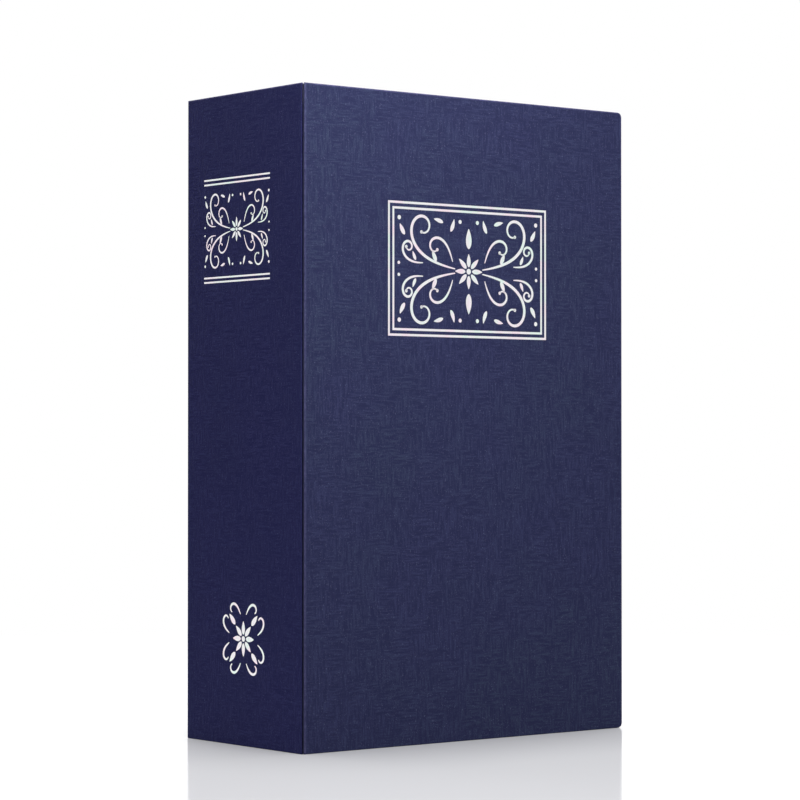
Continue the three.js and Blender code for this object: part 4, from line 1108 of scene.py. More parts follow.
@dataclass
class Stamping:
    """Silver foil on the front cover and the spine: plain frames, rules and a scroll ornament.

    A stroke is drawn by its curvature: the heading is the sum of the curvature
    along the length, and the points are the sum of the heading's directions.
    Each stroke carries a low lens section, so it is a thin closed body.
    """

    case: Case
    sunk: float = 0.02 * MM
    line: float = 0.85 * MM
    frame_middle: Pair = (-0.4 * MM, 175.0 * MM)
    frame_size: Pair = (76.0 * MM, 48.7 * MM)
    frame_step: float = 2.05 * MM
    rule_middle: float = 4.6 * MM
    rule_length: float = 41.8 * MM
    rule_levels: tuple[float, ...] = (208.9 * MM, 207.2 * MM, 172.4 * MM, 170.75 * MM)
    rule_line: float = 0.62 * MM
    spine_scale: Pair = (0.61, 0.69)
    emblem_scale: Pair = (1.12, 1.12)
    emblem_middle: Pair = (0.1 * MM, 39.2 * MM)
    steps: int = 90
    dot_steps: int = 24
    rule_steps: int = 12

    def ribbon(self, shell: Shell, side: Side, path: Array, half: Array) -> None:
        """Adds a stroke: a lens section across the path, from edge to edge.

        Args:
            shell: The mesh to add to.
            side: The side of the case that it is stamped on.
            path: The stroke's middle line in the side's frame.
            half: Half its width at each point.
        """
        reach = np.array([-1.0, -0.8, 0.8, 1.0, 0.0])
        depth = np.array([0.7, 0.0, 0.0, 0.7, 1.4]) * self.sunk
        flat = path[:, None] + side_normals(path)[:, None] * (reach[:, None] * half[:, None, None])
        shell.grid(side.place(flat, depth))

    def stroke(
        self, start: Pair, heading: float, length: float,
        bend: Pair, power: float, width: float,
    ) -> Stroke:
        """A scroll whose curvature grows from bend's first value to its second.

        Args:
            start: First point in millimetres.
            heading: First direction in degrees.
            length: Length in millimetres.
            bend: Curvature at both ends, in turns of a radian to a millimetre.
            power: How late the curvature grows.
            width: Half the width at its fullest, in millimetres.
        Returns:
            The middle line and half the width at each point, in millimetres.
        """
        share = np.linspace(0, 1, self.steps)
        step = length / (self.steps - 1)
        angle = math.radians(heading) + np.cumsum(bend[0] + (bend[1] - bend[0]) * share**power) * step
        path = np.cumsum(circled((0, 0), step, angle), axis=0)
        full = 0.15 + 0.85 * np.sin(np.pi * np.clip(share * 0.88 + 0.04, 0, 1)) ** 0.7
        return path - path[0] + np.array(start), width * full

    def leaf(
        self, base: Pair, heading: float, length: float, half: float, bend: float = 0.0,
    ) -> Stroke:
        """A pointed leaf whose half width is the sine of its length's share to the 0.75."""
        path, _ = self.stroke(base, heading, length, (bend, bend), 1.0, half)
        share = np.linspace(0, 1, self.steps)
        return path, half * np.sin(np.pi * share**0.75) ** 0.8 + 0.02

    def dot(self, centre: Pair, radius: float) -> Stroke:
        """A round dot, drawn as a stroke whose half width is a half circle."""
        share = np.cos(np.linspace(np.pi, 0, self.dot_steps))
        path = np.stack([centre[0] + share * radius, np.full_like(share, centre[1])], 1)
        return path, radius * np.sqrt(1 - share**2) + 0.01

    def quarter(self) -> list[Stroke]:
        """The scrolls, leaves and dots of one quarter of the ornament."""
        curls = [
            self.stroke((6.6, 0.8), 8, 46, (0.012, 0.42), 2.2, 0.62),
            self.stroke((22.0, 2.5), -4, 23, (0.04, 0.86), 1.8, 0.5),
            self.stroke((7.8, 3.4), 72, 22, (-0.02, -0.6), 1.7, 0.5),
        ]
        ends = [self.dot(tuple(path[-1]), 0.62) for path, _ in curls]
        return [
            *curls, *ends,
            self.leaf((15.6, 3.3), 58, 4.6, 0.85, 0.05),
            self.leaf((25.4, 3.4), 60, 3.6, 0.65, 0.06),
            self.leaf((30.6, 12.6), 52, 4.6, 0.85, 0.06),
            self.leaf((8.8, 14.6), 122, 5.0, 0.8, -0.08),
            self.leaf((12.4, 17.8), 22, 4.6, 0.75, -0.05),
            self.dot((4.2, 18.4), 0.75),
            self.dot((33.2, 18.8), 0.8),
            self.dot((33.4, 2.2), 0.6),
        ]

    def rosette(self, petals: int, petal: float, half: float) -> list[Stroke]:
        """Leaves set evenly round a dot."""
        angles = np.arange(petals) * 360 / petals
        start = petal * 0.32
        spokes = [
            self.leaf((start * math.cos(math.radians(a)), start * math.sin(math.radians(a))), a, petal, half)
            for a in angles
        ]
        return [*spokes, self.dot((0.0, 0.0), start * 0.66)]

    def stamp(
        self, shell: Shell, side: Side, middle: Pair, strokes: list[Stroke],
        scale: Pair = (1.0, 1.0), mirrored: bool = False,
    ) -> None:
        """Stamps strokes round a middle point.

        Args:
            shell: The mesh to add to.
            side: The side of the case that is stamped.
            middle: The ornament's middle in the side's frame.
            strokes: Middle lines and half widths in millimetres.
            scale: Sizes across and up.
            mirrored: Whether all four quarters are stamped.
        """
        quarters = [(1, 1), (-1, 1), (1, -1), (-1, -1)] if mirrored else [(1, 1)]
        for sign in quarters:
            for path, half in strokes:
                line = np.array(middle) + path * np.array(sign) * np.array(scale) * MM
                self.ribbon(shell, side, line, half * min(scale) * MM)

    def rule(
        self, shell: Shell, side: Side, start: Pair, end: Pair, width: float,
    ) -> None:
        """Stamps a straight line."""
        path = np.linspace(start, end, self.rule_steps)
        self.ribbon(shell, side, path, np.full(self.rule_steps, width / 2))

    def front(self) -> None:
        """The double frame and the scroll ornament on the front cover."""
        side = self.case.front
        middle = (self.frame_middle[0] - self.case.low[0], self.frame_middle[1])
        shell = Shell("front_stamping")
        over = self.line / 2
        for step in range(2):
            across, up = (size / 2 - step * self.frame_step for size in self.frame_size)
            left, right = middle[0] - across, middle[0] + across
            low, high = middle[1] - up, middle[1] + up
            for x, z in ((left, low), (right, high)):
                self.rule(shell, side, (left - over, z), (right + over, z), self.line)
                self.rule(shell, side, (x, low + over), (x, high - over), self.line)
        self.stamp(shell, side, middle, self.quarter(), mirrored=True)
        upright = [self.leaf((0.0, sign * 8.4), sign * 90, 7.6, 1.35) for sign in (1, -1)]
        self.stamp(shell, side, middle, upright)
        self.stamp(shell, side, middle, self.rosette(8, 5.0, 0.9))
        dress(shell.build(Sharp.ROUNDED), FOIL, Body.COVER)

    def spine(self) -> None:
        """The double rules, a smaller ornament between them and a rosette near the foot."""
        side = self.case.spine
        shell = Shell("spine_stamping")
        across = self.rule_middle - self.case.low[1]
        for level in self.rule_levels:
            ends = ((across - self.rule_length / 2, level), (across + self.rule_length / 2, level))
            self.rule(shell, side, *ends, self.rule_line)
        middle = (across, (self.rule_levels[1] + self.rule_levels[2]) / 2)
        self.stamp(shell, side, middle, self.quarter(), self.spine_scale, True)
        self.stamp(shell, side, middle, self.rosette(8, 5.0, 0.9), self.spine_scale)
        foot = (self.emblem_middle[0] - self.case.low[1], self.emblem_middle[1])
        corner = [
            self.leaf((4.6, 4.6), 45, 4.6, 0.9),
            self.stroke((1.6, 8.0), 60, 9.5, (-0.02, -0.95), 1.4, 0.42),
            self.stroke((8.0, 1.6), 30, 9.5, (0.02, 0.95), 1.4, 0.42),
        ]
        self.stamp(shell, side, foot, corner, self.emblem_scale, True)
        self.stamp(shell, side, foot, self.rosette(8, 4.4, 0.85), self.emblem_scale)
        dress(shell.build(Sharp.ROUNDED), FOIL, Body.CASE)


# The page block


@dataclass
class PageBlock:
    """Glued sheets round three sides of the box, each a little proud or short.

    The block is a U seen from the front. Its ring runs round the U's outside and
    back along its inside, and one ring follows another along Y: two for each sheet
    and one for the gap to the next, drawn in by the sheet's own random share.
    """

    sheet: float = 0.34 * MM
    gap: float = 0.08 * MM
    gap_depth: float = 0.16 * MM
    ragged: float = 0.05 * MM
    seed: int = 7
    points_each_side: int = 9

    def through(self, corners: list[Pair]) -> Array:
        """Points evenly spaced along the sides of an open polyline, each corner once."""
        share = np.linspace(0, 1, self.points_each_side)[:, None]
        sides = [(1 - share) * here + share * ahead for here, ahead in zip(corners[:-1], corners[1:])]
        return np.concatenate([sides[0], *(side[1:] for side in sides[1:])])

    def build(self) -> None:
        """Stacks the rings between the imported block's front and back."""
        low, high = node_box("page_block_bottom")
        edge_low, edge_high = node_box("page_block_fore_edge")
        left, inner = low[0], edge_low[0]
        right, bottom, top = edge_high[0], edge_low[2], edge_high[2]
        inner_low, inner_high = high[2], node_box("page_block_top")[0][2]
        count = int((high[1] - low[1] - self.sheet) / (self.sheet + self.gap))
        start = low[1] + np.arange(count) * (self.sheet + self.gap)
        levels = np.stack([start, start + self.sheet, start + self.sheet + self.gap / 2], 1).ravel()
        levels = np.append(levels[:-1], high[1])

        chance = np.random.default_rng(self.seed)
        drift = np.sin(np.arange(count) / 11)[:, None] * 0.3 + 0.5
        own = np.clip(chance.normal(0.5, 0.3, (count, 3)) + drift, 0, 2.2) * self.ragged
        inset = np.repeat(own, 3, axis=0)
        inset[2::3] += self.gap_depth
        inset = np.vstack([inset[:-1], inset[-2:-1]])

        outer = self.through([(left, bottom), (right, bottom), (right, top), (left, top)])
        inside = self.through([
            (left, inner_low), (inner, inner_low), (inner, inner_high), (left, inner_high),
        ])
        flat = np.concatenate([outer, inside[::-1]])
        draw = np.zeros((len(levels), len(flat), 2))
        draw[:, np.isclose(flat[:, 0], right), 0] -= inset[:, :1]
        draw[:, np.isclose(flat[:, 1], bottom), 1] += inset[:, 1:2]
        draw[:, np.isclose(flat[:, 1], top), 1] -= inset[:, 2:3]
        rows = lifted(flat + draw, levels[:, None])
        shell = Shell("page_block").grid(rows, capped=False)
        half = len(outer)
        pairs = np.arange(half - 1)
        for first in (0, (len(levels) - 1) * 2 * half):
            last = first + 2 * half - 1
            quads = [first + pairs, first + pairs + 1, last - 1 - pairs, last - pairs]
            shell.faces += np.stack(quads, 1).tolist()
        nodes = ("page_block_fore_edge", "page_block_bottom", "page_block_top")
        dress(shell.build(Sharp.CUT), PAGES, Body.CASE, Slot.PAGES, *nodes)


# The box, its door and their hinge


@dataclass
class SteelDoor:
    """The pressed door: a sunk face, a sloped wall, a round rim and a flange.

    One closed profile of (inset, Y) points runs from the lock's hole over the
    front, round the flange and back along the rear. It is carried round a rim of
    columns, and near the hole the rings pass from the door's outline to a circle.
    """

    sheet: float = 1 * MM
    rim_width: float = 5 * MM
    dish_depth: float = 3.2 * MM
    slope_foot: float = 6.3 * MM
    slope_head: float = 4.2 * MM
    rim_round: float = 1.8 * MM
    inner_round: float = 2.2 * MM
    foot_round: float = 1.5 * MM
    support: float = 0.35 * MM
    corner: float = 4 * MM
    dish_corner: float = 5 * MM
    hole: float = 9.1 * MM
    corner_steps: int = 8
    side_steps: int = 26
    arc_steps: int = 5

    def rim(self, low: Array, high: Array, lock: Array) -> tuple[Rim, Array]:
        """The rim's columns, and where the flange is cut away beside the hinge.

        Side points stand where evenly spaced directions from the lock meet the
        sides, so that the circle round the lock is even too. Where the flange
        ends, two columns share one place.

        Args:
            low: Lowest corner of the door.
            high: Highest corner of the door.
            lock: A point on the lock's axis.
        Returns:
            The rim, and whether each column is beside the hinge.
        """
        cut = math.acos(1 - self.sheet / self.corner)
        steps = self.corner_steps
        quarter = np.linspace(0, np.pi / 2, steps + 1)
        near = np.concatenate([np.linspace(0, cut, steps // 2), np.linspace(cut, np.pi / 2, steps // 2 + 2)])
        angles = [quarter - np.pi / 2, quarter, np.pi - near[::-1], np.pi + (np.pi / 2 - near)[::-1]]
        corners = np.array([(high[0], low[2]), (high[0], high[2]), (low[0], high[2]), (low[0], low[2])])
        corners -= lock[[0, 2]]
        shares = []
        for first, last in zip(corners, np.roll(corners, -1, 0)):
            start = math.atan2(first[1], first[0])
            sweep = math.atan2(first[0] * last[1] - first[1] * last[0], float(first @ last))
            ray = start + sweep * np.linspace(0, 1, self.side_steps + 1)[1:-1]
            direction = circled((0, 0), 1, ray)
            leg = last - first
            cross = first[0] * direction[:, 1] - first[1] * direction[:, 0]
            shares.append(-cross / (leg[0] * direction[:, 1] - leg[1] * direction[:, 0]))
        reach = np.pi / 2 - cut + 1e-9
        upper, lower = angles[2] > np.pi - reach, angles[3] < np.pi + reach
        upper[np.argmax(upper)] = False
        lower[len(lower) - 1 - np.argmax(lower[::-1])] = False
        clear = np.zeros(sum(len(part) for part in (*angles[:2], *shares[:2])), bool)
        sides = np.ones(len(shares[2]), bool), np.zeros(len(shares[3]), bool)
        return Rim(angles, shares), np.concatenate([clear, upper, sides[0], lower, sides[1]])

    def build(self) -> None:
        """Carries the profile round the rim and dresses the door."""
        low, high = node_box("safe_door")
        lock = joint_place("lock_turn")
        front, end = low[1], high[1]
        face = front + self.dish_depth
        rim, beside = self.rim(low, high, lock)
        outer = [
            (self.slope_foot + 4 * MM, face), (self.slope_foot, face), (self.slope_head, front), (0.0, front),
            (0.0, end),
        ]
        rear = offset_line(outer, -self.sheet)
        outer_rounds = [0, self.foot_round, self.inner_round, self.rim_round, 0]
        rear_rounds = [
            0, self.foot_round + self.sheet, self.inner_round - self.sheet, self.rim_round - self.sheet, 0,
        ]
        outer_line = filleted(outer, outer_rounds, self.arc_steps, self.support)
        rear_line = filleted(rear, rear_rounds, self.arc_steps, self.support)
        back = face + self.sheet
        rings = []
        for inset, y in np.concatenate([outer_line, rear_line[::-1]]):
            share = min(max(inset, 0.0) / self.rim_width, 1.0)
            radius = self.corner + (self.dish_corner - self.corner) * share
            flat = rim.ring(low[0] + inset, high[0] - inset, low[2] + inset, high[2] - inset, radius)
            rings.append(lifted(flat, np.where(beside, min(y, back), y)))
        centre = lock[[0, 2]]

        def toward_hole(ring: Array, y: float) -> list[Array]:
            """Rings from a flat outline to the circle of the lock's hole."""
            flat = ring[:, [0, 2]]
            away = flat - centre
            circle = centre + away / np.linalg.norm(away, axis=1)[:, None] * self.hole
            return [lifted(flat * (1 - s) + circle * s, y) for s in (0.35, 0.7, 0.9, 1.0)]

        rings = toward_hole(rings[0], face)[::-1] + rings + toward_hole(rings[-1], back)
        panel = Shell("door_panel").grid(np.stack(rings), closed=True).build(Sharp.SHEET_METAL)
        dress(panel, COAT, Body.DOOR, Slot.COATED, "safe_door")


@dataclass
class StrongBox:
    """The folded steel box with its lip, and the angle that the cam turns behind."""

    sheet: float = 1 * MM
    lip: float = 7 * MM
    fold: float = 1.6 * MM
    corner: float = 2.6 * MM
    support: float = 0.35 * MM
    lip_round: float = 0.35 * MM
    notch: float = 0.85 * MM
    slack: float = 0.4 * MM
    strike_bend: float = 1.3 * MM
    corner_steps: int = 6
    side_steps: int = 8

    def build(self) -> None:
        """Makes the box by a profile carried round its outline, with no lip at the hinge."""
        low, high = node_box("steel_box")
        leaf_low, leaf_high = node_box("box_hinge_leaf")
        front, back = low[1], high[1]
        inner = self.fold - self.sheet
        profile = filleted(
            [
                (self.lip * 2, back), (0, back),
                (0, front), (self.lip, front),
                (self.lip, front + self.sheet), (self.sheet, front + self.sheet),
                (self.sheet, back - self.sheet), (self.lip * 2, back - self.sheet),
            ],
            [0, self.fold, self.fold, self.lip_round, self.lip_round, inner, inner, 0], 4, self.support,
        )
        ends = np.array([leaf_high[2] + self.slack, leaf_low[2] - self.slack])
        notch = (ends - low[2] - self.corner) / (high[2] - low[2] - 2 * self.corner)
        cut = 1 - np.repeat(notch, 2)
        middle = np.linspace(cut[0], cut[2], 6)[1:-1]
        hinge_side = np.concatenate([cut[:2], middle, cut[2:]])
        rim = plain_rim(self.corner_steps, self.side_steps)
        rim.side_shares[2] = hinge_side
        outline = rim.ring(low[0], high[0], low[2], high[2], self.corner)
        start = 3 * (self.corner_steps + 1) + 2 * (self.side_steps - 1)
        cut_away = np.zeros(len(outline), bool)
        cut_away[start + 1:start + len(hinge_side) - 1] = True
        rows = []
        for inset, y in profile:
            at_lip = y < front + self.sheet * 2
            left = min(inset, self.sheet) if at_lip else inset
            radius = max(self.corner - inset, self.corner - self.sheet)
            flat = rim.ring(low[0] + left, high[0] - inset, low[2] + inset, high[2] - inset, radius)
            if at_lip:
                flat[cut_away, 1] = outline[cut_away, 1]
            rows.append(lifted(flat, np.where(cut_away, max(y, front + self.notch), y)))
        box = Shell("strongbox").grid(np.stack(rows)).build(Sharp.SHEET_METAL)
        dress(box, COAT, Body.CASE, Slot.COATED, "steel_box")

        low, high = node_box("strike_plate")
        half = self.sheet / 2
        path = filleted(
            [(high[0] - half, low[1]), (high[0] - half, high[1] - half), (low[0], high[1] - half)],
            [0, self.strike_bend - half, 0], 8,
        )
        levels = np.linspace(low[2], high[2], 5)
        shell = folded(
            Shell("strike_angle"), path, np.full(len(path), self.sheet), levels,
            np.ones((len(path) - 1, len(levels) - 1), bool),
        )
        dress(shell.build(Sharp.SHEET_METAL), COAT, Body.CASE, Slot.COATED, "strike_plate")


@dataclass
class DoorHinge:
    """Two rolled leaves on one pin, and the rivets that hold them."""

    leaf: float = 0.8 * MM
    roll_thickness: float = 1.0 * MM
    roll: float = 1.7 * MM
    knuckles: int = 5
    gap: float = 0.4 * MM
    relief: float = 2.6 * MM
    roll_steps: int = 30
    rivet_head: float = 0.9 * MM
    rivet_boss: float = 0.35 * MM
    rivet_shank: float = 1.2 * MM
    round_steps: int = 32

    def leaf_piece(
        self, name: str, path: Array, own: int, span: Pair, free: int,
    ) -> Object:
        """One leaf: a sheet rolled at its end, with the other leaf's knuckles cut out.

        Args:
            name: The piece's name.
            path: The sheet's middle line in X and Y, from its free edge to the roll's end.
            own: 0 or 1, the first knuckle that is this leaf's.
            span: Both ends of the hinge along Z.
            free: How many of the path's points lie clear of the knuckles.
        Returns:
            The object.
        """
        pitch = (span[1] - span[0]) / self.knuckles
        bounds = span[0] + np.arange(self.knuckles + 1) * pitch
        starts, ends = bounds[:-1] + self.gap / 2, bounds[1:] - self.gap / 2
        levels = np.unique(np.concatenate([[span[0], span[1]], starts, ends]))
        middles = (levels[:-1] + levels[1:]) / 2
        mine = np.zeros(len(middles), bool)
        for index in range(own, self.knuckles, 2):
            mine |= (middles > starts[index]) & (middles < ends[index])
        kept = np.ones((len(path) - 1, len(middles)), bool)
        kept[free:] = mine
        share = np.clip((np.arange(len(path)) - free) / 4, 0, 1)
        thickness = self.leaf + (self.roll_thickness - self.leaf) * share
        return folded(Shell(name), path, thickness, levels, kept).build(Sharp.SHEET_METAL)

    def build(self) -> None:
        """Makes both leaves, the pin and the six rivets."""
        axis = joint_place("door_swing")[:2]
        low, high = node_box("box_hinge_leaf")
        half = self.leaf / 2
        plate_x = high[0] - half
        plate = np.linspace((plate_x, high[1]), (plate_x, axis[1] + self.relief), 6)
        join = np.linspace((plate_x, axis[1] + self.relief * 0.7), (axis[0] + self.roll, axis[1]), 4)
        path = np.concatenate([plate, join[:-1], arc(tuple(axis), self.roll, 0, -318, self.roll_steps)])
        piece = self.leaf_piece("hinge_leaf_on_box", path, 0, (low[2], high[2]), len(plate) - 1)
        dress(piece, PLATED, Body.CASE, Slot.BRIGHT, "box_hinge_leaf")

        low, high = node_box("door_hinge_leaf")
        plate_y = high[1] - half
        plate = np.linspace((high[0], plate_y), (axis[0] + self.relief, plate_y), 6)
        join = np.linspace((axis[0] + self.relief * 0.7, plate_y), (axis[0], axis[1] + self.roll), 4)
        path = np.concatenate([plate, join[:-1], arc(tuple(axis), self.roll, 90, 408, self.roll_steps)])
        piece = self.leaf_piece("hinge_leaf_on_door", path, 1, (low[2], high[2]), len(plate) - 1)
        dress(piece, PLATED, Body.DOOR, Slot.BRIGHT, "door_hinge_leaf")

        low, high = node_box("hinge_pin")
        radius = (high[0] - low[0]) / 2
        dome = radius * 0.5
        corners = [(0, low[2]), (radius, low[2]), (radius, high[2]), (0, high[2])]
        grid = turned(filleted(corners, [0, dome, dome, 0]), np.array([*axis, 0]), self.round_steps, "z")
        dress(Shell("hinge_pin_rod").grid(grid).build(), PLATED, Body.CASE, Slot.BRIGHT, "hinge_pin")
        for index in range(1, 4):
            self.rivet(f"door_rivet_{index}", "y", Body.DOOR)
            self.rivet(f"box_rivet_{index}", "x", Body.CASE)

    def rivet(self, node: str, axis: str, body: Body) -> None:
        """A domed rivet: the head is a quarter ellipse, and the far end is set flat.

        Args:
            node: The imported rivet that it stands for.
            axis: The rivet's axis.
            body: The body that it moves with.
        """
        low, high = node_box(node)
        number = "xyz".index(axis)
        head_radius = (high[2] - low[2]) / 2
        length = high[number] - low[number]
        head, boss, shank = self.rivet_head, self.rivet_boss, self.rivet_shank
        turn = np.radians(np.linspace(0, 90, 9))
        dome = np.stack([head_radius * np.sin(turn), head * 0.9 * (1 - np.cos(turn))], 1)
        rest = filleted([
            (head_radius, head), (shank, head), (shank, length - boss), (head_radius * 0.92, length - boss),
            (head_radius * 0.92, length), (0, length),
        ], [0, 0, 0, boss / 2, boss / 2, 0], 3)
        profile = np.concatenate([dome, rest])
        flip = axis == "x"
        profile[:, 1] = high[number] - profile[:, 1] if flip else low[number] + profile[:, 1]
        grid = turned(profile, (low + high) / 2, self.round_steps, axis)
        dress(Shell(f"{node}_domed").grid(grid).build(), PLATED, body, Slot.BRIGHT, node)


# The cam lock


@dataclass
class CamLock:
    """The cam lock: bezel and threaded barrel, plug with its keyway, nut, washers and cam."""

    bezel: float = 11 * MM
    bezel_top: float = 8.4 * MM
    bezel_height: float = 2.6 * MM
    bezel_land: float = 0.6 * MM
    seat_sunk: float = 0.05 * MM
    barrel: float = 9 * MM
    flats: float = 8 * MM
    thread_pitch: float = 1 * MM
    thread_depth: float = 0.5 * MM
    plug: float = 6.5 * MM
    plug_face: float = 7.6 * MM
    face_depth: float = 1.4 * MM
    fit: float = 0.1 * MM
    keyway: Pair = (3.4 * MM, 1.25 * MM)
    side_slit: Pair = (4.5 * MM, 0.32 * MM)
    keyway_depth: float = 23.5 * MM
    ward: float = 0.3
    tail: float = 3 * MM
    face_lip: float = 0.22 * MM
    face_groove: float = 0.12 * MM
    face_ring: float = 1.1 * MM
    nut_chamfer: Triple = (0.9 * MM, 0.45 * MM, 0.8 * MM)
    washer_edge: float = 0.2 * MM
    cam_edge: float = 0.3 * MM
    steps: int = 128
    washer_steps: int = 96

    def __post_init__(self) -> None:
        """Reads the lock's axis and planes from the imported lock."""
        self.axis = joint_place("lock_turn")
        low, high = node_box("lock_housing")
        self.front, self.end = low[1], high[1]
        self.seat = self.front + self.bezel_height - self.seat_sunk

    def around(self, rows: list[tuple[Array, float]], angle: Array) -> Array:
        """Rings round the lock's axis.

        Args:
            rows: Each ring's radius at every angle, and its level along Y.
            angle: The angles, where cos leads to X and sin to Z.
        Returns:
            A grid whose columns close into rings.
        """
        radius = np.stack([row[0] for row in rows])
        level = np.array([row[1] for row in rows])[:, None]
        return lifted(circled(self.axis[[0, 2]], radius, angle), level)

    def housing(self) -> None:
        """The conical bezel and the barrel, whose thread is a helix cut by two flats."""
        bore, step = self.plug + self.fit, self.front + self.face_depth + self.fit
        counter = self.plug_face + self.fit
        head = filleted([
            (bore, step), (counter, step), (counter, self.front), (self.bezel_top, self.front),
            (self.bezel, self.seat - self.bezel_land), (self.bezel, self.seat), (self.barrel, self.seat),
        ], [0, 0.1 * MM, 0.18 * MM, 0.3 * MM, 0.35 * MM, 0.15 * MM, 0], 5)
        y = np.arange(self.seat + 0.2 * MM, self.end - 0.2 * MM, self.thread_pitch / 8)
        barrel = np.stack([np.full_like(y, self.barrel), y], 1)
        tail = np.array([(self.barrel - self.thread_depth, self.end), (bore, self.end)])
        profile = np.concatenate([head, barrel, tail])
        grid = turned(profile, self.axis, self.steps)
        on_barrel = slice(len(head), len(head) + len(barrel))
        angle = full_turn(self.steps)
        phase = (y[:, None] / self.thread_pitch - angle / (2 * np.pi)) % 1
        started = np.clip((y[:, None] - y[0]) / MM, 0, 1)
        radius = self.barrel - self.thread_depth * np.abs(2 * phase - 1) * started
        grid[on_barrel] = lifted(circled(self.axis[[0, 2]], radius, angle), y[:, None])
        rows = slice(len(head), len(grid) - 1)
        low, high = self.axis[2] - self.flats, self.axis[2] + self.flats
        grid[rows, :, 2] = np.clip(grid[rows, :, 2], low, high)
        piece = Shell("lock_body").grid(grid, closed=True).build(Sharp.THIN)
        dress(piece, CHROME, Body.DOOR, Slot.CHROME, "lock_housing")

    def slot_radius(self, angle: Array, half: Pair, power: float) -> Array:
        """A rounded rectangle's radius at an angle: (|cos/a|^p + |sin/b|^p)^(-1/p)."""
        across = np.abs(np.cos(angle) / half[0]) ** power
        return (across + np.abs(np.sin(angle) / half[1]) ** power) ** (-1 / power)

    def plug_piece(self) -> None:
        """The plug: rings pass from the keyway's outline to the face's circle.

        The keyway is the larger of a rounded rectangle and a longer, thinner one,
        drawn in by a ward in the middle of its long sides, by a flat-topped bell
        curve of the distance from the middle.
        """
        angle = full_turn(self.steps)
        slot = np.maximum(*(self.slot_radius(angle, half, 8.0) for half in (self.keyway, self.side_slit)))
        slot = slot * (1 - self.ward * np.exp(-((slot * np.cos(angle) / (0.9 * MM)) ** 4)))
        disc = np.full_like(angle, self.plug_face)
        body = np.full_like(angle, self.plug)
        square = self.slot_radius(angle, (self.tail, self.tail), 12.0)
        low, high = node_box("lock_plug")
        front, end, tip = low[1], self.end, high[1]
        lip, groove = self.face_lip, self.face_groove
        shoulder = front + self.face_depth
        ring_line = disc - self.face_ring
        rows = [
            (slot * 0.05, front + self.keyway_depth), (slot, front + self.keyway_depth),
            (slot, front + lip * 3), (slot, front + lip),
            (slot + lip * 0.4, front + lip * 0.3), (slot + lip, front),
            (slot * 0.6 + ring_line * 0.4, front), (ring_line - groove, front),
            (ring_line, front + groove), (ring_line + groove, front),
            (disc - lip, front), (disc - lip * 0.3, front + lip * 0.3),
            (disc, front + lip), (disc, shoulder),
            (body, shoulder), (body, end),
            (square, end), (square, tip - lip),
            (square - lip, tip), (square * 0.05, tip),
        ]
        piece = Shell("lock_plug_body").grid(self.around(rows, angle)).build(Sharp.THIN)
        dress(piece, CHROME, Body.PLUG, Slot.CHROME, "lock_plug")
        for index in range(1, 6):
            dress_node(f"lock_wafer_{index}", BRASS)

    def hardware(self) -> None:
        """The hexagon nut with its chamfers, the washers, the cam and its screw."""
        low, high = node_box("lock_nut")
        angle = full_turn(self.steps)
        apothem = (high[0] - low[0]) / 2
        sixth = np.pi / 3
        hexagon = apothem / np.cos((angle + sixth / 2) % sixth - sixth / 2)
        circle, bore = apothem * 0.99, self.barrel + self.fit
        reach, fall, foot = self.nut_chamfer
        half = [
            (np.full_like(angle, bore), 0.0), (np.full_like(angle, circle), 0.0),
            (np.minimum(hexagon, circle + reach), fall), (hexagon, foot),
        ]
        rows = [(radius, low[1] + depth) for radius, depth in half]
        rows += [(radius, high[1] - depth) for radius, depth in reversed(half)]
        nut = Shell("lock_hexagon_nut").grid(self.around(rows, angle), closed=True).build(Sharp.HEXAGON)
        dress(nut, PLATED, Body.DOOR, Slot.BRIGHT, "lock_nut")
        low, high = node_box("lock_washer")
        outer = (high[0] - low[0]) / 2
        corners = [(bore, low[1]), (outer, low[1]), (outer, high[1]), (bore, high[1])]
        profile = filleted(corners, [0, self.washer_edge, self.washer_edge, 0], 3)
        grid = turned(profile, self.axis, self.washer_steps)
        washer = Shell("lock_plain_washer").grid(grid, closed=True).build()
        dress(washer, PLATED, Body.DOOR, Slot.BRIGHT, "lock_washer")
        self.cam()
        dress_node("cam_washer", PLATED)
        dress_node("cam_screw", PLATED)

    def cam(self) -> None:
        """The cam: a flat bar with round ends and softened edges."""
        low, high = node_box("lock_cam")
        half = (high[0] - low[0]) / 2
        inset, level = softened(low[1], high[1], self.cam_edge, 4)
        rows = []
        for drawn in inset:
            foot = arc((self.axis[0], low[2] + half), half - drawn, 180, 360, 24)
            head = arc((self.axis[0], high[2] - half), half - drawn, 0, 180, 24)
            rows.append(np.concatenate([foot, head]))
        grid = lifted(np.stack(rows), level[:, None])
        dress(Shell("cam_bar").grid(grid).build(), PLATED, Body.PLUG, Slot.BRIGHT, "lock_cam")

    def build(self) -> None:
        """Makes every piece of the lock."""
        self.housing()
        self.plug_piece()
        self.hardware()


# The keys and their ring


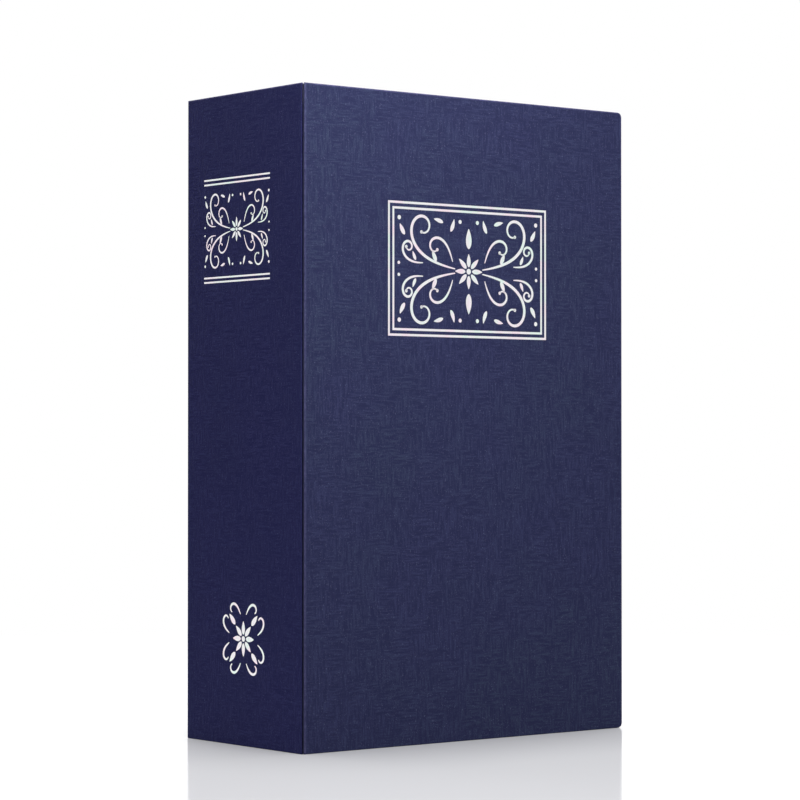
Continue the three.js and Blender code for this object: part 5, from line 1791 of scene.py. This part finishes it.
@dataclass
class Key:
    """A key with a moulded head, drawn with its ring hole at the origin and its blade along +X.

    The head is a shell of rings that run from the middle of one face's raised oval
    pad, over the head's rounded edge, to the middle of the other face's.
    """

    name: str
    body: Body
    hole: Array
    head_start: float = 3.4 * MM
    head_length: float = 25 * MM
    head_width: float = 17 * MM
    thickness: float = 6.5 * MM
    nose: float = 8 * MM
    shoulder: float = 5.5 * MM
    pad: Pair = (8.5 * MM, 5.25 * MM)
    pad_height: float = 0.5 * MM
    rib_height: float = 0.16 * MM
    ribs: int = 44
    tongue: float = 3.4 * MM
    tongue_radius: float = 5.2 * MM
    ring_hole: float = 2.8 * MM
    blade_length: float = 27 * MM
    blade_width: float = 6.4 * MM
    blade: float = 2 * MM
    groove_depth: float = 0.4 * MM
    tang: float = 11 * MM
    groove_half: float = 0.75 * MM
    cut_shares: tuple[float, ...] = (0.55, 1.0, 0.3, 0.8, 0.45)
    cut_depth: float = 1.1 * MM
    cut_pitch: float = 3.2 * MM
    cut_flat: float = 0.45 * MM
    cut_round: float = 0.12 * MM
    first_cut: float = 4.5 * MM
    tip_round: float = 0.6 * MM
    tip_drop: float = 2.2 * MM
    corner_rounds: tuple[float, ...] = (1.2 * MM, 2.4 * MM, 2.2 * MM, 1.5 * MM)
    head_edge: float = 1.0 * MM
    tongue_edge: float = 0.5 * MM
    steps: int = 176
    blade_steps: int = 48

    def polar(self, outline: Array, middle: float, angle: Array) -> Array:
        """A closed outline's distance from a middle point at each angle."""
        away = outline - np.array([middle, 0.0])
        bearing = np.arctan2(away[:, 1], away[:, 0])
        order = np.argsort(bearing)
        return np.interp(angle, bearing[order], np.linalg.norm(away, axis=1)[order], period=2 * np.pi)

    def head_piece(self) -> Object:
        """The head: body with rounded edges, ribbed oval pads, parting line and tongue."""
        start, end = self.head_start, self.head_start + self.head_length
        half, nose, neck = self.head_width / 2, self.nose / 2, self.tongue_radius
        upper = [(end, nose), (end - self.shoulder, half), (start + self.shoulder / 2, half), (start, neck)]
        lower = [(x, -z) for x, z in reversed(upper)]
        rounding = [0, *self.corner_rounds, *reversed(self.corner_rounds), 0]
        rounded = filleted([(end, 0), *upper, *lower, (end, 0)], rounding, 8)
        outline = spread(rounded[:-1], 0.4 * MM)
        middle = (start + end - self.shoulder / 2) / 2
        angle = np.linspace(-np.pi, np.pi, self.steps, endpoint=False)
        body = self.polar(outline, middle, angle)
        oval = 1 / np.sqrt((np.cos(angle) / self.pad[0]) ** 2 + (np.sin(angle) / self.pad[1]) ** 2)
        face, edge = self.thickness / 2, self.head_edge
        inner = np.linspace(0.02, 1.0, 15)
        dome = self.pad_height * (0.55 + 0.45 * (1 - inner**2) ** 0.5)
        ribbed = self.rib_height * np.exp(-(((inner - 0.78) / 0.12) ** 2))
        wave = 0.5 + 0.5 * np.cos(angle * self.ribs)
        rings = [(oval * share, face + rise + rib * wave) for share, rise, rib in zip(inner, dome, ribbed)]
        rings += [(oval + 0.12 * MM, face + 0.08 * MM), (oval + 0.35 * MM, face)]
        turn = np.radians(np.linspace(0, 90, 7))
        rings += [(body - edge * (1 - math.sin(t)), face - edge * (1 - math.cos(t))) for t in turn]
        rings += [(body, 0.12 * MM), (body - 0.07 * MM, 0.0)]
        radius = np.stack([ring[0] for ring in rings])
        height = np.stack([np.broadcast_to(ring[1], angle.shape) for ring in rings])
        radius = np.concatenate([radius, radius[-2::-1]])
        height = np.concatenate([height, -height[-2::-1]])
        flat = circled((self.hole[0] + middle, self.hole[2]), radius, angle)
        shell = Shell(f"{self.name}_moulded_head").grid(lifted(flat, self.hole[1] + height))
        return self.tongue_shell(shell, start + self.shoulder).build(Sharp.MOULDED)

    def tongue_shell(self, shell: Shell, reach: float) -> Shell:
        """Adds the tongue: a plate with a round end and a hole, as one closed loop of rings."""
        side = spread(np.array([(reach, -self.tongue_radius), (0.0, -self.tongue_radius)]), 1.2 * MM)[:-1]
        cap = arc((0, 0), self.tongue_radius, 270, 90, 36)
        other = side[::-1] * np.array([1, -1])
        end = np.stack([np.full(9, reach), np.linspace(self.tongue_radius, -self.tongue_radius, 11)[1:-1]], 1)
        outline = np.concatenate([side, cap, other, end])
        unit = outline / np.linalg.norm(outline, axis=1)[:, None]
        hole = unit * self.ring_hole
        half, soft = self.tongue / 2, self.tongue_edge
        turn = np.radians(np.linspace(0, 90, 5))
        near, far = soft * (1 - np.sin(turn)), soft * (1 - np.cos(turn))
        shrink = 1 - soft / self.tongue_radius
        growing, drawn_in = shrink + (1 - shrink) * np.sin(turn), shrink + (1 - shrink) * np.cos(turn)
        rings: list[tuple[Array, float]] = [(hole, -half + soft), (hole, half - soft)]
        rings += [(hole + unit * across, half - down) for across, down in zip(far, near)]
        rings += [(outline * scale, half - down) for scale, down in zip(growing, far)]
        rings += [(outline * scale, -half + up) for scale, up in zip(drawn_in, near)]
        rings += [(hole + unit * across, -half + up) for across, up in zip(near, far)]
        flat = np.stack([ring[0] for ring in rings]) + self.hole[[0, 2]]
        level = self.hole[1] + np.array([ring[1] for ring in rings])[:, None]
        return shell.grid(lifted(flat, level), closed=True)

    def blade_piece(self) -> Object:
        """The blade: a section with a groove in each face, narrowed by the cuts.

        The half width at a place along the blade is the least of the plain width,
        the tip's taper and each cut's flat-bottomed V. The half thickness is a
        super-ellipse across the width, less a bell curve for the groove.
        """
        start = self.head_start + self.head_length - self.tang
        tip = self.head_start + self.head_length + self.blade_length
        straight = np.linspace(start, tip - self.tip_round, 190)
        along = np.concatenate([straight, tip - self.tip_round * (1 - np.linspace(0.1, 1, 8))])
        full = self.blade_width / 2
        half = np.full_like(along, full)
        for index, share in enumerate(self.cut_shares):
            middle = tip - self.first_cut - index * self.cut_pitch
            rise = np.maximum(np.abs(along - middle) - self.cut_flat, 0)
            wall = np.sqrt(rise**2 + self.cut_round**2) - self.cut_round
            half = np.minimum(half, full - self.cut_depth * share + wall)
        half = np.minimum(half, full - self.tip_drop + (tip - along) * 1.05)
        around = full_turn(self.blade_steps)
        across = np.sign(np.sin(around)) * np.abs(np.sin(around)) ** 0.5
        rounding = np.clip((tip - along) / self.tip_round, 0, 1)[:, None]
        thick = np.sign(np.cos(around)) * np.abs(np.cos(around)) ** 0.28 * self.blade / 2
        z = half[:, None] * across * (0.8 + 0.2 * rounding)
        groove = self.groove_depth * np.exp(-((z / self.groove_half) ** 4))
        groove = groove * (along[:, None] > self.head_start + self.head_length)
        y = (thick - np.sign(thick) * np.minimum(groove, np.abs(thick))) * (0.55 + 0.45 * np.sqrt(rounding))
        flat = np.stack([np.broadcast_to(along[:, None], z.shape), z], -1) + self.hole[[0, 2]]
        return Shell(f"{self.name}_cut_blade").grid(lifted(flat, self.hole[1] + y)).build(Sharp.CUT)

    def build(self) -> None:
        """Makes and dresses both pieces of the key."""
        dress(self.head_piece(), BLACK, self.body, Slot.PLASTIC, f"{self.name}_head")
        dress(self.blade_piece(), NICKEL, self.body, Slot.BLADE, f"{self.name}_blade")


@dataclass
class SplitRing:
    """The split ring: one wire wound twice round, through both keys' holes.

    Its middle line is a helix: the middle plus the radius times (cos a outward +
    sin a sideways), climbing by the pitch in each turn. The wire narrows to closed
    ends. It slopes so that its far side rests on the floor of the box.
    """

    radius: float = 10 * MM
    wire: float = 0.65 * MM
    turns: int = 2
    turn_gap: float = 0.45 * MM
    key_width: float = 17 * MM
    tongue: float = 3.4 * MM
    steps: int = 88
    sides: int = 14

    def build(self) -> None:
        """Winds the ring through the two holes and dresses it."""
        holes = joint_place("key_a_swing"), joint_place("key_b_swing")
        spacing = holes[1][1] - holes[0][1]
        pitch = 2 * self.wire + self.turn_gap
        reach = (
            math.sqrt(self.radius**2 - ((spacing - self.tongue) / 2) ** 2)
            + math.sqrt(self.radius**2 - ((spacing + self.tongue) / 2) ** 2)
        ) / 2
        along = reach + self.radius + self.wire
        across = pitch * self.turns / 2 + self.wire
        slope = math.asin(self.key_width / 2 / math.hypot(along, across)) - math.atan2(across, along)
        outward = np.array([-math.cos(slope), 0.0, -math.sin(slope)])
        sideways = np.array([0.0, 1.0, 0.0])
        climb = np.cross(outward, sideways)
        middle = (holes[0] + holes[1]) / 2 + outward * reach
        angle = np.linspace(0, 2 * np.pi * self.turns, self.steps * self.turns + 1)[:, None]
        rise = pitch * (angle / (2 * np.pi) - self.turns / 2)
        path = middle + self.radius * (np.cos(angle) * outward + np.sin(angle) * sideways) + rise * climb
        from_end = np.minimum(angle[:, 0], angle[-1, 0] - angle[:, 0]) * self.radius
        share = np.clip(from_end / self.wire, 0.02, 1)
        radii = self.wire * np.sqrt(share * (2 - share))
        piece = Shell("split_ring").grid(tube(path, radii, self.sides)).build(Sharp.ROUNDED)
        dress(piece, WIRE, Body.RING, Slot.RING, "key_ring")


# The studio


def aim(thing: Object, place: Triple, look: Vector) -> None:
    """Sets a camera or a lamp at a place, looking in a direction."""
    thing.location = place
    thing.rotation_mode = "QUATERNION"
    thing.rotation_quaternion = look.to_track_quat("-Z", "Y")


@dataclass
class Studio:
    """A pale glossy floor, a white surround, soft lamps and the camera."""

    camera_place: Triple = (-0.6844, -0.8554, 0.1122)
    camera_bearing: float = 38.49
    camera_pitch: float = 0.796
    lens: float = 128.5
    sensor_width: float = 36
    nearest: float = 0.01
    floor_half: float = 4.0
    floor_drop: float = 0.02 * MM
    floor_tone: Triple = (0.62, 0.62, 0.64)
    floor_glow: float = 0.38
    floor_fade: Pair = (0.2, 0.6)
    contact_reach: float = 0.07
    ambient: float = 0.06
    lamps: tuple[tuple[str, Triple, float, float], ...] = (
        ("key_softbox", (-0.11, -0.25, 0.42), 0.25, 1.5),
        ("top_softbox", (0.0, 0.45, 1.6), 1.0, 4.0),
        ("left_softbox", (-1.3, 0.15, 0.9), 0.9, 1.2),
        ("right_softbox", (1.2, 0.2, 0.6), 0.9, 7.0),
        ("back_softbox", (0.2, 1.3, 0.8), 1.2, 10.0),
    )

    def camera(self) -> None:
        """Sets the camera at the photograph's place and angle."""
        data = bpy.data.cameras.new("camera")
        data.lens = self.lens
        data.sensor_width = self.sensor_width
        data.clip_start = self.nearest
        bearing, pitch = math.radians(self.camera_bearing), math.radians(self.camera_pitch)
        look = Vector((
            math.sin(bearing) * math.cos(pitch), math.cos(bearing) * math.cos(pitch), math.sin(pitch),
        ))
        camera = placed("camera", data)
        aim(camera, self.camera_place, look)
        bpy.context.scene.camera = camera

    def seen_white(self, tree: bpy.types.NodeTree) -> NodeSocket:
        """Whether a ray is the camera's, a reflection's or a transmission's."""
        path = tree.nodes.new("ShaderNodeLightPath")
        total = path.outputs["Is Camera Ray"]
        for name in ("Is Glossy Ray", "Is Transmission Ray"):
            either = tree.nodes.new("ShaderNodeMath")
            either.operation = "MAXIMUM"
            tree.links.new(total, either.inputs[0])
            tree.links.new(path.outputs[name], either.inputs[1])
            total = either.outputs[0]
        return total

    def surround(self) -> None:
        """A world that is white where it is seen and softer where it lights."""
        world = bpy.data.worlds.new("white_surround")
        world.use_nodes = True
        bpy.context.scene.world = world
        tree = world.node_tree
        strength = tree.nodes.new("ShaderNodeMapRange")
        tree.links.new(self.seen_white(tree), strength.inputs[0])
        strength.inputs[3].default_value = self.ambient
        background = tree.nodes["Background"]
        background.inputs["Color"].default_value = (1, 1, 1, 1)
        tree.links.new(strength.outputs[0], background.inputs["Strength"])

    def floor(self) -> None:
        """A glossy floor that keeps the shadow, lifted for the camera and white far away.

        The lift, an emission, falls off beside whatever stands on the floor, by how much of the
        sky it hides within contact_reach: a painted contact shadow.
        """
        ticks = np.linspace(-self.floor_half, self.floor_half, 13)
        x, y = np.meshgrid(ticks, ticks, indexing="ij")
        points = np.stack([x, y, np.full_like(x, -self.floor_drop)], -1).reshape(-1, 3)
        index = np.arange(x.size).reshape(x.shape)
        quads = np.stack([index[:-1, :-1], index[1:, :-1], index[1:, 1:], index[:-1, 1:]], -1).reshape(-1, 4)
        mesh = bpy.data.meshes.new("floor")
        mesh.from_pydata(points.tolist(), [], quads.tolist())
        r = Recipe("glossy_white_floor")
        seen = self.seen_white(r.tree)
        # Ambient occlusion dims the floor's glow near things: a painted contact shadow.
        open_sky = r.node("AmbientOcclusion", {"Distance": self.contact_reach}).outputs["AO"]
        lift = r.sum("MULTIPLY", open_sky, self.floor_glow)
        r.finish(
            Base_Color=self.floor_tone, Roughness=0.1, Specular_IOR_Level=0.35,
            Emission_Color=(1.0, 1.0, 1.0), Emission_Strength=r.sum("MULTIPLY", seen, lift),
        )
        white = r.node("Emission", {"Color": (1, 1, 1, 1), "Strength": 1.0})
        away = r.node("VectorMath", {0: r.place}, operation="LENGTH").outputs["Value"]
        share = r.sum("MULTIPLY", seen, r.remap(away, *self.floor_fade))
        mixed = r.node("MixShader", {0: share, 1: r.shader.outputs[0], 2: white.outputs[0]})
        r.tree.links.new(mixed.outputs[0], r.output.inputs["Surface"])
        mesh.materials.append(r.material)
        floor = placed("floor", mesh)

    def light(self) -> None:
        """Soft square lamps, each aimed at the middle of the book."""
        target = Vector((0, 0, (cad_bounds[0][2] + cad_bounds[1][2]) / 2))
        for name, place, size, power in self.lamps:
            data = bpy.data.lights.new(name, "AREA")
            data.size = size
            data.energy = power
            lamp = placed(name, data)
            lamp.visible_camera = False
            aim(lamp, place, target - Vector(place))

    def build(self) -> None:
        """Sets up everything round the object."""
        self.camera()
        self.surround()
        self.floor()
        self.light()
        bpy.context.scene.view_settings.view_transform = "Standard"


def main() -> None:
    """Builds the studio and every piece of the book safe."""
    logging.basicConfig(level=logging.INFO, format="%(message)s")
    Studio().build()
    case = Case()
    case.covers()
    case.spine_and_creases()
    stamping = Stamping(case)
    stamping.front()
    stamping.spine()
    PageBlock().build()
    SteelDoor().build()
    StrongBox().build()
    DoorHinge().build()
    CamLock().build()
    Key("key_a", Body.KEY_A, joint_place("key_a_swing")).build()
    Key("key_b", Body.KEY_B, joint_place("key_b_swing")).build()
    SplitRing().build()


if __name__ == "__main__":
    main()
